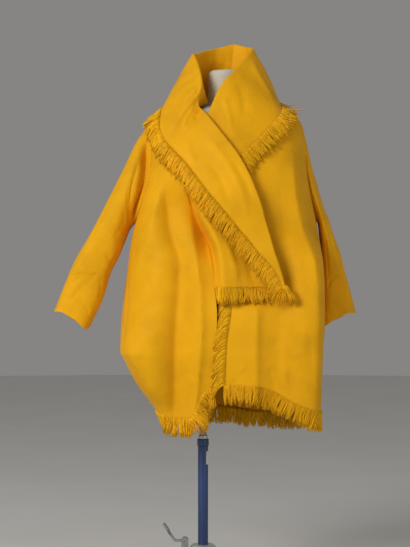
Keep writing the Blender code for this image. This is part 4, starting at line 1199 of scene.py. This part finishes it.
class Finish:
    """A node tree being filled: short ways to add a node, link it and set its sockets."""

    def __init__(self, name):
        self.material = bpy.data.materials.new(name)
        self.material.use_nodes = True
        self.tree = self.material.node_tree
        self.shader = self.tree.nodes["Principled BSDF"]

    def add(self, kind, **settings):
        node = self.tree.nodes.new(kind)
        for key, value in settings.items():
            setattr(node, key, value)
        return node

    def join(self, start, stop):
        self.tree.links.new(start, stop)

    def set(self, node, **values):
        for key, value in values.items():
            node.inputs[key.replace("_", " ")].default_value = value
        return node

    def cloth_place(self, across, along):
        """Lengths on the cloth, stretched: its u and v in metres times the two numbers."""
        place = self.add("ShaderNodeUVMap", uv_map="cloth")
        return self.scaled(place.outputs["UV"], (across, along, 1.0))

    def object_place(self, *size):
        """Places on the piece, stretched along x, y and z if sizes are given."""
        place = self.add("ShaderNodeTexCoord")
        return self.scaled(place.outputs["Object"], size or (1, 1, 1))

    def scaled(self, socket, size):
        mapping = self.set(self.add("ShaderNodeMapping"), Scale=size)
        self.join(socket, mapping.inputs["Vector"])
        return mapping.outputs["Vector"]

    def noise(self, place, scale, detail=3.0, roughness=0.55):
        node = self.set(self.add("ShaderNodeTexNoise"), Scale=scale, Detail=detail, Roughness=roughness)
        self.join(place, node.inputs["Vector"])
        return node.outputs["Fac"]

    def ribs(self, place, direction, period, distortion=0.0):
        """Fine even ribs, a period apart along one axis of the place."""
        node = self.add("ShaderNodeTexWave", bands_direction=direction)
        self.set(node, Scale=2 * math.pi / (20 * period), Distortion=distortion, Detail=2.0)
        self.join(place, node.inputs["Vector"])
        return node.outputs["Fac"]

    def tints(self, socket, colour, *stops):
        """Darker and lighter versions of a colour along a value: pairs of a place and a factor."""
        ramp = self.add("ShaderNodeValToRGB")
        bar = ramp.color_ramp
        while len(bar.elements) < len(stops):
            bar.elements.new(0.5)
        for element, (at, factor) in zip(bar.elements, stops):
            element.position = at
            element.color = (*(min(value * factor, 1.0) for value in colour), 1.0)
        self.join(socket, ramp.inputs["Fac"])
        return ramp.outputs["Color"]

    def between(self, socket, low, high):
        """A value from 0 to 1 as one between two numbers."""
        spread = self.set(self.add("ShaderNodeMapRange"), To_Min=low, To_Max=high)
        self.join(socket, spread.inputs["Value"])
        return spread.outputs["Result"]

    def relief(self, socket, depth, strength, under=None):
        """A bump of a given depth in metres, on top of another bump."""
        bump = self.set(self.add("ShaderNodeBump"), Distance=depth, Strength=strength)
        self.join(socket, bump.inputs["Height"])
        if under is not None:
            self.join(under, bump.inputs["Normal"])
        return bump.outputs["Normal"]

    def done(self, colour, roughness, normal):
        self.join(colour, self.shader.inputs["Base Color"])
        self.join(roughness, self.shader.inputs["Roughness"])
        self.join(normal, self.shader.inputs["Normal"])
        return self.material


def kept(name):
    """Marks a function that fills a finish: it runs once, then the material is found by its name."""
    def named(fill):
        return lambda: bpy.data.materials.get(name) or fill(Finish(name))
    return named


def stand_look():
    """The settings of the form and its stand."""
    return bpy.context.scene.coat_stand


def silk_cloth(silk, colour, sheen, rough):
    """Crisp ribbed silk: fine cross ribs, slubs, a slight crumple and uneven dye."""
    dye = silk.noise(silk.object_place(), 9.0, 4.0)
    tint = silk.tints(dye, colour, (0.3, 0.86), (0.5, 1.0), (0.72, 1.1))
    slub = silk.noise(silk.cloth_place(60.0, 900.0), 1.0, 2.0)
    crumple = silk.noise(silk.object_place(1, 1, 0.8), 38.0, 3.0, 0.5)
    ribs = silk.ribs(silk.cloth_place(1.0, 1.0), "Y", RIB_PERIOD, 0.6)
    normal = silk.relief(crumple, 0.004, 0.35)
    normal = silk.relief(slub, 0.0003, 0.35, normal)
    normal = silk.relief(ribs, 0.00015, 0.3, normal)
    silk.set(silk.shader, Sheen_Weight=sheen, Anisotropic=0.2, **SILK_SHINE)
    return silk.done(tint, silk.between(slub, rough - 0.06, rough + 0.08), normal)


@kept("saffron ribbed silk")
def silk_finish(silk):
    return silk_cloth(silk, coat().silk_colour, 0.1, 0.56)


# The wrong side is the same silk made darker and browner: painted shade for the shaded inside of the coat
@kept("saffron silk, wrong side, painted shade")
def silk_inside_shade_finish(silk):
    return silk_cloth(silk, coat().inside_shade_colour, 0.05, 0.62)


@kept("frayed silk thread")
def fringe_finish(thread):
    """Frayed silk threads, each with its own tone, duller toward the tip. Their colour is lighter than the
    silk's: painted light against their self-shadow.
    """
    place = thread.add("ShaderNodeUVMap", uv_map="cloth")
    parts = thread.add("ShaderNodeSeparateXYZ")
    thread.join(place.outputs["UV"], parts.inputs["Vector"])
    tint = thread.tints(parts.outputs["X"], coat().fringe_lit_colour, (0.0, 0.8), (0.55, 1.0), (1.0, 1.15))
    fibre = thread.noise(thread.object_place(1, 1, 0.3), 900.0, 2.0)
    thread.set(thread.shader, Sheen_Weight=0.12, **SILK_SHINE)
    dull = thread.between(parts.outputs["Y"], 0.4, 0.52)
    return thread.done(tint, dull, thread.relief(fibre, 0.0003, 0.3))


@kept("silk sewing thread")
def stitch_finish(sewing):
    """Twisted silk sewing thread."""
    tone = sewing.noise(sewing.object_place(), 260.0)
    tint = sewing.tints(tone, coat().fringe_lit_colour, (0.35, 0.7), (0.65, 0.95))
    twist = sewing.ribs(sewing.object_place(1, 0.4, 1), "DIAGONAL", 0.0009)
    return sewing.done(tint, sewing.between(tone, 0.4, 0.55), sewing.relief(twist, 0.0001, 0.4))


@kept("form cover jersey")
def form_cloth_finish(cover):
    """Close off-white jersey over the dress form, slightly soiled."""
    stain = cover.noise(cover.object_place(1, 1, 0.6), 11.0, 4.0)
    tint = cover.tints(stain, stand_look().cover_colour, (0.28, 0.84), (0.5, 1.0), (0.75, 1.08))
    knit_up = cover.ribs(cover.object_place(), "Z", 0.0014, 0.4)
    knit_round = cover.ribs(cover.object_place(), "X", 0.0011, 0.4)
    normal = cover.relief(knit_round, 0.0002, 0.25, cover.relief(knit_up, 0.0002, 0.35))
    cover.set(cover.shader, Sheen_Weight=0.2, Sheen_Roughness=0.6)
    return cover.done(tint, cover.between(stain, 0.72, 0.88), normal)


@kept("varnished pole wood")
def wood_finish(wood):
    """Clear-varnished light wood, its grain along the pole."""
    grain = wood.noise(wood.object_place(130, 130, 5), 1.0, 5.0, 0.6)
    tint = wood.tints(grain, stand_look().wood_colour, (0.32, 0.55), (0.52, 0.95), (0.7, 1.25))
    pores = wood.noise(wood.object_place(900, 900, 24), 1.0, 2.0)
    wood.set(wood.shader, Coat_Weight=0.25, Coat_Roughness=0.3)
    return wood.done(tint, wood.between(grain, 0.38, 0.55), wood.relief(pores, 0.0003, 0.3))


@kept("navy stand paint")
def paint_finish(paint):
    """Navy paint on steel, rubbed a little by hands."""
    wear = paint.noise(paint.object_place(30, 30, 9), 1.0, 5.0, 0.6)
    tint = paint.tints(wear, stand_look().paint_colour, (0.3, 0.75), (0.55, 1.0), (0.78, 1.5))
    peel = paint.noise(paint.object_place(), 420.0, 2.0)
    paint.set(paint.shader, Coat_Weight=0.3, Coat_Roughness=0.25)
    return paint.done(tint, paint.between(wear, 0.32, 0.5), paint.relief(peel, 0.0002, 0.25))


def bare_metal(metal, colour, metallic, rough, pitted):
    """Bare or cast metal: tone, roughness and a fine pitted grain."""
    tone = metal.noise(metal.object_place(), 26.0, 4.0)
    tint = metal.tints(tone, colour, (0.3, 0.78), (0.5, 1.0), (0.74, 1.12))
    grain = metal.noise(metal.object_place(), 520.0, 3.0)
    metal.set(metal.shader, Metallic=metallic)
    dull = metal.between(tone, rough - 0.08, rough + 0.1)
    return metal.done(tint, dull, metal.relief(grain, 0.0004, pitted))


@kept("pale bare metal")
def pale_metal_finish(metal):
    return bare_metal(metal, stand_look().metal_colour, 0.6, 0.42, 0.15)


@kept("grey cast iron")
def cast_finish(metal):
    return bare_metal(metal, stand_look().cast_colour, 0.35, 0.5, 0.45)


@kept("blank pale plate")
def plate_finish(plate):
    return bare_metal(plate, stand_look().plate_colour, 0.0, 0.5, 0.1)


@kept("pale floor")
def floor_finish(floor):
    tone = floor.noise(floor.object_place(), 2.0)
    tint = floor.tints(tone, bpy.context.scene.coat_stage.floor_colour, (0.3, 0.97), (0.7, 1.02))
    return floor.done(tint, floor.between(tone, 0.7, 0.8), floor.relief(tone, 0.001, 0.05))


def panel_grids():
    """Outer points of the two fronts and the back."""
    right = body_panel(side_edge(-90, 1), front_edge(RIGHT_EDGE), RIGHT_HEM, RIGHT_FINE, (True, False))
    left = body_panel(front_edge(LEFT_EDGE), side_edge(90, -1), LEFT_HEM, LEFT_FINE, (False, True))
    back = body_panel(side_edge(90, 1), side_edge(270, -1), BACK_HEM, BACK_FINE, (True, True))
    return right, left, back


def sleeve_grids():
    right, left, back = panel_grids()
    right_sleeve = sleeve_grid(SLEEVE_RIGHT, armhole_ring(right[0], back[-1]), SLEEVE_RIGHT_CREASES)
    left_sleeve = sleeve_grid(SLEEVE_LEFT, armhole_ring(left[-1], back[0]), SLEEVE_LEFT_CREASES)
    return right_sleeve, left_sleeve


def collar_grids():
    right = collar_grid(collar_rows(COLLAR_RIGHT) + lapel_rows(), COLLAR_RIGHT_CREASES)
    left = collar_grid(collar_rows(COLLAR_LEFT), COLLAR_LEFT_CREASES)
    return right, left


def hem_rim(grid):
    """The lowest edge of a piece, the points above it and its normals."""
    return grid[:, 0], grid[:, 1], grid_normals(grid)[:, 0]


def fall_rim(grid):
    """The free edge of a collar half, the points before it and its normals."""
    return grid[:, -1], grid[:, -2], collar_normals(grid)[:, -1]


def sew(name, node, outer, normals, closed=False):
    """A thin wall of silk inward of its outer points, in the place of its solid."""
    inner = outer - normals * coat().thickness
    dress(make_shell(name, outer, inner, closed), node, "form")


def declare_cut(outer, closed=False):
    """Measure the flat width and length of a piece's grid; nothing uses them."""
    grid = np.concatenate([outer, outer[:1]]) if closed else outer
    width = run_along(grid)[-1].max()
    length = run_along(grid, 1)[:, -1].max()


def soft_light(name, place, target, size, power):
    light = bpy.data.lights.new(name, "AREA")
    light.size = size
    light.energy = power
    thing = bpy.data.objects.new(name, light)
    thing.location = place
    thing.rotation_euler = (Vector(target) - Vector(place)).to_track_quat("-Z", "Y").to_euler()
    bpy.context.scene.collection.objects.link(thing)


def colour_setting(name, description, default):
    """A setting for a colour."""
    return FloatVectorProperty(name=name, description=description, subtype="COLOR", default=default,
                               min=0.0, max=1.0)


def length_setting(name, description, default, low, high):
    """A setting for a length, in millimetres here."""
    return FloatProperty(name=name, description=description, default=default * MM, min=low * MM,
                         max=high * MM, unit="LENGTH")


class SilkCoatSettings(PropertyGroup):
    crease_scale: FloatProperty(name="Crease depth", description="Depth of the small creases, as a share",
                                default=1.0, min=0.0, max=2.0, subtype="FACTOR")
    thickness: length_setting("Cloth thickness", "Thickness of the silk", 0.8, 0.3, 3)
    thread_spacing: length_setting("Thread spacing", "Distance between the fringe's threads", 1.5, 0.5, 6)
    thread_radius: length_setting("Thread radius", "Radius of a fringe thread at its root", 1.3, 0.2, 2.0)
    silk_colour: colour_setting("Silk", "Right side of the silk", (0.80, 0.385, 0.006))
    # The wrong side's colour is the silk's own, darkened as painted shade
    inside_shade_colour: colour_setting("Wrong side", "Wrong side of the silk, darkened as painted shade", (0.70, 0.29, 0.005))
    # The fringe's colour is the silk's own, lightened as painted light against the threads' self-shadow
    fringe_lit_colour: colour_setting("Fringe", "Frayed threads, lighter than the silk as painted light", (0.87, 0.445, 0.007))


class CoatStandSettings(PropertyGroup):
    cover_colour: colour_setting("Form cover", "Jersey over the dress form", (0.56, 0.53, 0.42))
    wood_colour: colour_setting("Pole wood", "Varnished pole", (0.50, 0.30, 0.09))
    paint_colour: colour_setting("Stand paint", "Painted tube and collar", (0.012, 0.042, 0.15))
    metal_colour: colour_setting("Pale metal", "Ring and hub", (0.55, 0.56, 0.53))
    cast_colour: colour_setting("Cast iron", "Base and pedal", (0.30, 0.31, 0.31))
    plate_colour: colour_setting("Blank plate", "Small plate on the tube", (0.66, 0.66, 0.60))
    edge_round: length_setting("Pedal edge", "Rounding of the pedal's edges", 1.0, 0.1, 3)


class CoatStageSettings(PropertyGroup):
    key_power: FloatProperty(name="Key light", description="Soft light from the upper left front",
                             default=176.0, min=0.0, unit="POWER")
    fill_power: FloatProperty(name="Fill light", description="Weak light from the right",
                              default=24.0, min=0.0, unit="POWER")
    room_light: FloatProperty(name="Room light", description="Even light from all round",
                              default=0.26, min=0.0)
    floor_colour: colour_setting("Floor", "Pale floor", (0.74, 0.73, 0.70))


class COAT_OT_panels(Operator):
    """Sew the two fronts and the back"""
    bl_idname = "coat.panels"
    bl_label = "Fronts and back"

    def execute(self, context):
        names = ("front_right", "front_left", "coat_back")
        for name, outer in zip(names, panel_grids()):
            sew("silk_" + name, name, outer, grid_normals(outer))
        return {"FINISHED"}


class COAT_OT_sleeves(Operator):
    """Sew the two wide sleeves with their open cuffs"""
    bl_idname = "coat.sleeves"
    bl_label = "Sleeves"

    def execute(self, context):
        for name, outer in zip(("sleeve_right", "sleeve_left"), sleeve_grids()):
            sew("silk_" + name, name, outer, tube_normals(outer), closed=True)
        return {"FINISHED"}


class COAT_OT_wrap_panel(Operator):
    """Sew the wrap-over that passes under the long lapel"""
    bl_idname = "coat.wrap_panel"
    bl_label = "Wrap panel"

    def execute(self, context):
        outer = wrap_grid()
        sew("silk_wrap_panel", "wrap_panel", outer, grid_normals(outer))
        return {"FINISHED"}


class COAT_OT_collar(Operator):
    """Sew both halves of the tall folded collar and the long lapel"""
    bl_idname = "coat.collar"
    bl_label = "Collar and lapel"

    def execute(self, context):
        for name, outer in zip(("collar_right", "collar_left"), collar_grids()):
            sew("silk_" + name, name, outer, collar_normals(outer))
        return {"FINISHED"}


class COAT_OT_fringe(Operator):
    """Fray the edges into fringe and stay them with stitches; each piece's cut is measured but not stated
    """
    bl_idname = "coat.fringe"
    bl_label = "Fringe and stitches"

    def execute(self, context):
        right, left, back = panel_grids()
        wrap = wrap_grid()
        collar_right, collar_left = collar_grids()
        edge_part = left[0, :, 2] < WRAP_LOW + EDGE_FRINGE.length
        open_wrap = wrap[:, 0, 0] < WRAP_FRINGE_END
        open_wrap[0] = False
        # Each rim: its edge, the row of points before it and its normals, then its fringe
        rims = {
            "hem_right": (*hem_rim(right), HEM_FRINGE),
            "hem_left": (*hem_rim(left), HEM_FRINGE),
            "hem_back": (*hem_rim(back), BACK_FRINGE),
            "wrap": (*(points[open_wrap] for points in hem_rim(wrap)), WRAP_FRINGE),
            "front_edge": (left[0, edge_part], left[FIRST_EVEN, edge_part],
                           grid_normals(left)[0, edge_part], EDGE_FRINGE),
            "collar_right": (*fall_rim(collar_right), LAPEL_FRINGE),
            "collar_left": (*fall_rim(collar_left), COLLAR_FRINGE),
        }
        rows = []
        for number, (name, (edge, before, normals, size)) in enumerate(rims.items()):
            rows.append(stitch_row(edge, before, normals))
            away = rim_away(edge, before)
            if name == "wrap":
                forward = WRAP_FRINGE_LEAN * smooth_step((edge[:, 0] - edge[0, 0]) / WRAP_LEAN_WIDTH)
                away = unit(away - np.array((0.0, 1.0, 0.0)) * forward[:, None])
            if name == "collar_right":
                edge = np.concatenate([edge, collar_right[-1, FIRST_FALL] + np.array(TIP_STEPS) * MM])
                away = np.concatenate([away, unit(np.array(TIP_LEANS))])
            make_fringe(name, edge, away, size, FRINGE_SEED + number)
        stitches = stitches_mesh("stay_stitches", rows)
        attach(stitches, "form")

        declare_cut(right)
        declare_cut(left)
        declare_cut(back)
        declare_cut(wrap)
        declare_cut(collar_right)
        declare_cut(collar_left)
        sleeve_right, sleeve_left = sleeve_grids()
        declare_cut(sleeve_right, closed=True)
        declare_cut(sleeve_left, closed=True)
        return {"FINISHED"}


class COAT_OT_dress_form(Operator):
    """Cover the limbless dress form and turn its pole"""
    bl_idname = "coat.dress_form"
    bl_label = "Dress form"

    def execute(self, context):
        dress(make_dress_form("dress_form"), "form_torso", "form")
        pole_top = TORSO[0].z * MM - SEAT
        pole = [(POLE_RADIUS - FOOT_BEVEL, POLE_FOOT), (POLE_RADIUS, POLE_FOOT + FOOT_BEVEL),
                (POLE_RADIUS, pole_top)]
        dress(turned_solid("wooden_pole", pole, POLE_CORNER, wood_finish()), "form_pole", "form")
        return {"FINISHED"}


class COAT_OT_stand(Operator):
    """Turn the stand: base, hub, tube, collar and ring, with its blank plate"""
    bl_idname = "coat.stand"
    bl_label = "Stand"

    def execute(self, context):
        base = [(BASE_RADIUS - FOOT_BEVEL, 0), (BASE_RADIUS, 2 * FOOT_BEVEL),
                (BASE_RADIUS, BASE_TOP - BASE_EDGE), (BASE_RADIUS - BASE_EDGE, BASE_TOP),
                (HUB_RADIUS, BASE_TOP)]
        base = turned_solid("cast_base", base, CAST_CORNER, cast_finish())
        dress(base, "stand_base", "stand")
        hub = [(HUB_RADIUS, BASE_TOP + SEAT), (HUB_RADIUS, HUB_TOP - HUB_EDGE),
               (HUB_RADIUS - HUB_EDGE, HUB_TOP)]
        hub = turned_solid("pale_hub", hub, CAST_CORNER, pale_metal_finish())
        dress(hub, "stand_hub", "stand")
        tube = turned_tube("painted_tube", TUBE_RADIUS, HUB_TOP + SEAT, TUBE_TOP, paint_finish())
        dress(tube, "stand_tube", "stand")
        collar = turned_tube("painted_collar", COLLAR_RADIUS, TUBE_TOP + SEAT, COLLAR_TOP, paint_finish())
        dress(collar, "stand_collar", "stand")
        ring = turned_tube("pale_ring", RING_RADIUS, COLLAR_TOP + SEAT, RING_TOP, pale_metal_finish())
        dress(ring, "stand_ring", "stand")
        soften_node("stand_tag", plate_finish(), PLATE_EDGE)
        return {"FINISHED"}


class COAT_OT_pedal(Operator):
    """Finish the foot pedal and its two ears"""
    bl_idname = "coat.pedal"
    bl_label = "Pedal"

    def execute(self, context):
        for node in ("pedal_ear_front", "pedal_ear_back", "pedal_lever"):
            soften_node(node, cast_finish(), context.scene.coat_stand.edge_round)
        return {"FINISHED"}


class COAT_OT_stage(Operator):
    """Set the pale floor, the soft lights and the camera"""
    bl_idname = "coat.stage"
    bl_label = "Stage"

    def execute(self, context):
        stage = context.scene.coat_stage
        turns = np.linspace(0, 2 * math.pi, FLOOR_SIDES, endpoint=False)
        rim = [(FLOOR_RADIUS * math.cos(turn), FLOOR_RADIUS * math.sin(turn), FLOOR_LEVEL)
               for turn in turns]
        floor = make_mesh("pale_floor", rim, [tuple(range(FLOOR_SIDES))], (floor_finish(),), solid=False)
        soft_light("key_light", *KEY_LIGHT, stage.key_power)
        soft_light("fill_light", *FILL_LIGHT, stage.fill_power)
        room = bpy.data.worlds.new("pale room")
        room.use_nodes = True
        back = room.node_tree.nodes["Background"]
        back.inputs["Color"].default_value = ROOM_COLOUR
        back.inputs["Strength"].default_value = stage.room_light
        context.scene.world = room
        context.scene.view_settings.view_transform = "Standard"
        lens = bpy.data.cameras.new("camera")
        lens.sensor_fit = "AUTO"
        lens.sensor_width = CAMERA_SENSOR
        lens.lens = CAMERA_SENSOR * CAMERA_AWAY / (PICTURE_ROWS * ROW_HEIGHT)
        camera = bpy.data.objects.new("camera", lens)
        camera.location = (PICTURE_MIDDLE_X, -CAMERA_AWAY, PICTURE_MIDDLE_Z)
        camera.rotation_euler = (math.radians(90), 0, 0)
        context.scene.collection.objects.link(camera)
        context.scene.camera = camera
        return {"FINISHED"}


SETTINGS = {"silk_coat": SilkCoatSettings, "coat_stand": CoatStandSettings, "coat_stage": CoatStageSettings}
TOOLS = (COAT_OT_panels, COAT_OT_sleeves, COAT_OT_wrap_panel, COAT_OT_collar, COAT_OT_fringe,
         COAT_OT_dress_form, COAT_OT_stand, COAT_OT_pedal, COAT_OT_stage)


class COAT_PT_sidebar(Panel):
    """The coat's pieces and their sizes"""
    bl_idname = "COAT_PT_sidebar"
    bl_label = "Silk coat"
    bl_space_type = "VIEW_3D"
    bl_region_type = "UI"
    bl_category = "Coat"

    def draw(self, context):
        layout = self.layout
        for tool in TOOLS:
            layout.operator(tool.bl_idname)
        for group, kind in SETTINGS.items():
            box = layout.box()
            for name in kind.__annotations__:
                box.prop(getattr(context.scene, group), name)


CLASSES = (*SETTINGS.values(), *TOOLS, COAT_PT_sidebar)


def register():
    for kind in CLASSES:
        bpy.utils.register_class(kind)
    for name, kind in SETTINGS.items():
        setattr(bpy.types.Scene, name, PointerProperty(type=kind))


def unregister():
    for name in SETTINGS:
        delattr(bpy.types.Scene, name)
    for kind in reversed(CLASSES):
        bpy.utils.unregister_class(kind)


def main():
    register()
    bpy.ops.coat.panels()
    bpy.ops.coat.sleeves()
    bpy.ops.coat.wrap_panel()
    bpy.ops.coat.collar()
    bpy.ops.coat.fringe()
    bpy.ops.coat.dress_form()
    bpy.ops.coat.stand()
    bpy.ops.coat.pedal()
    bpy.ops.coat.stage()


if __name__ == "__main__":
    main()
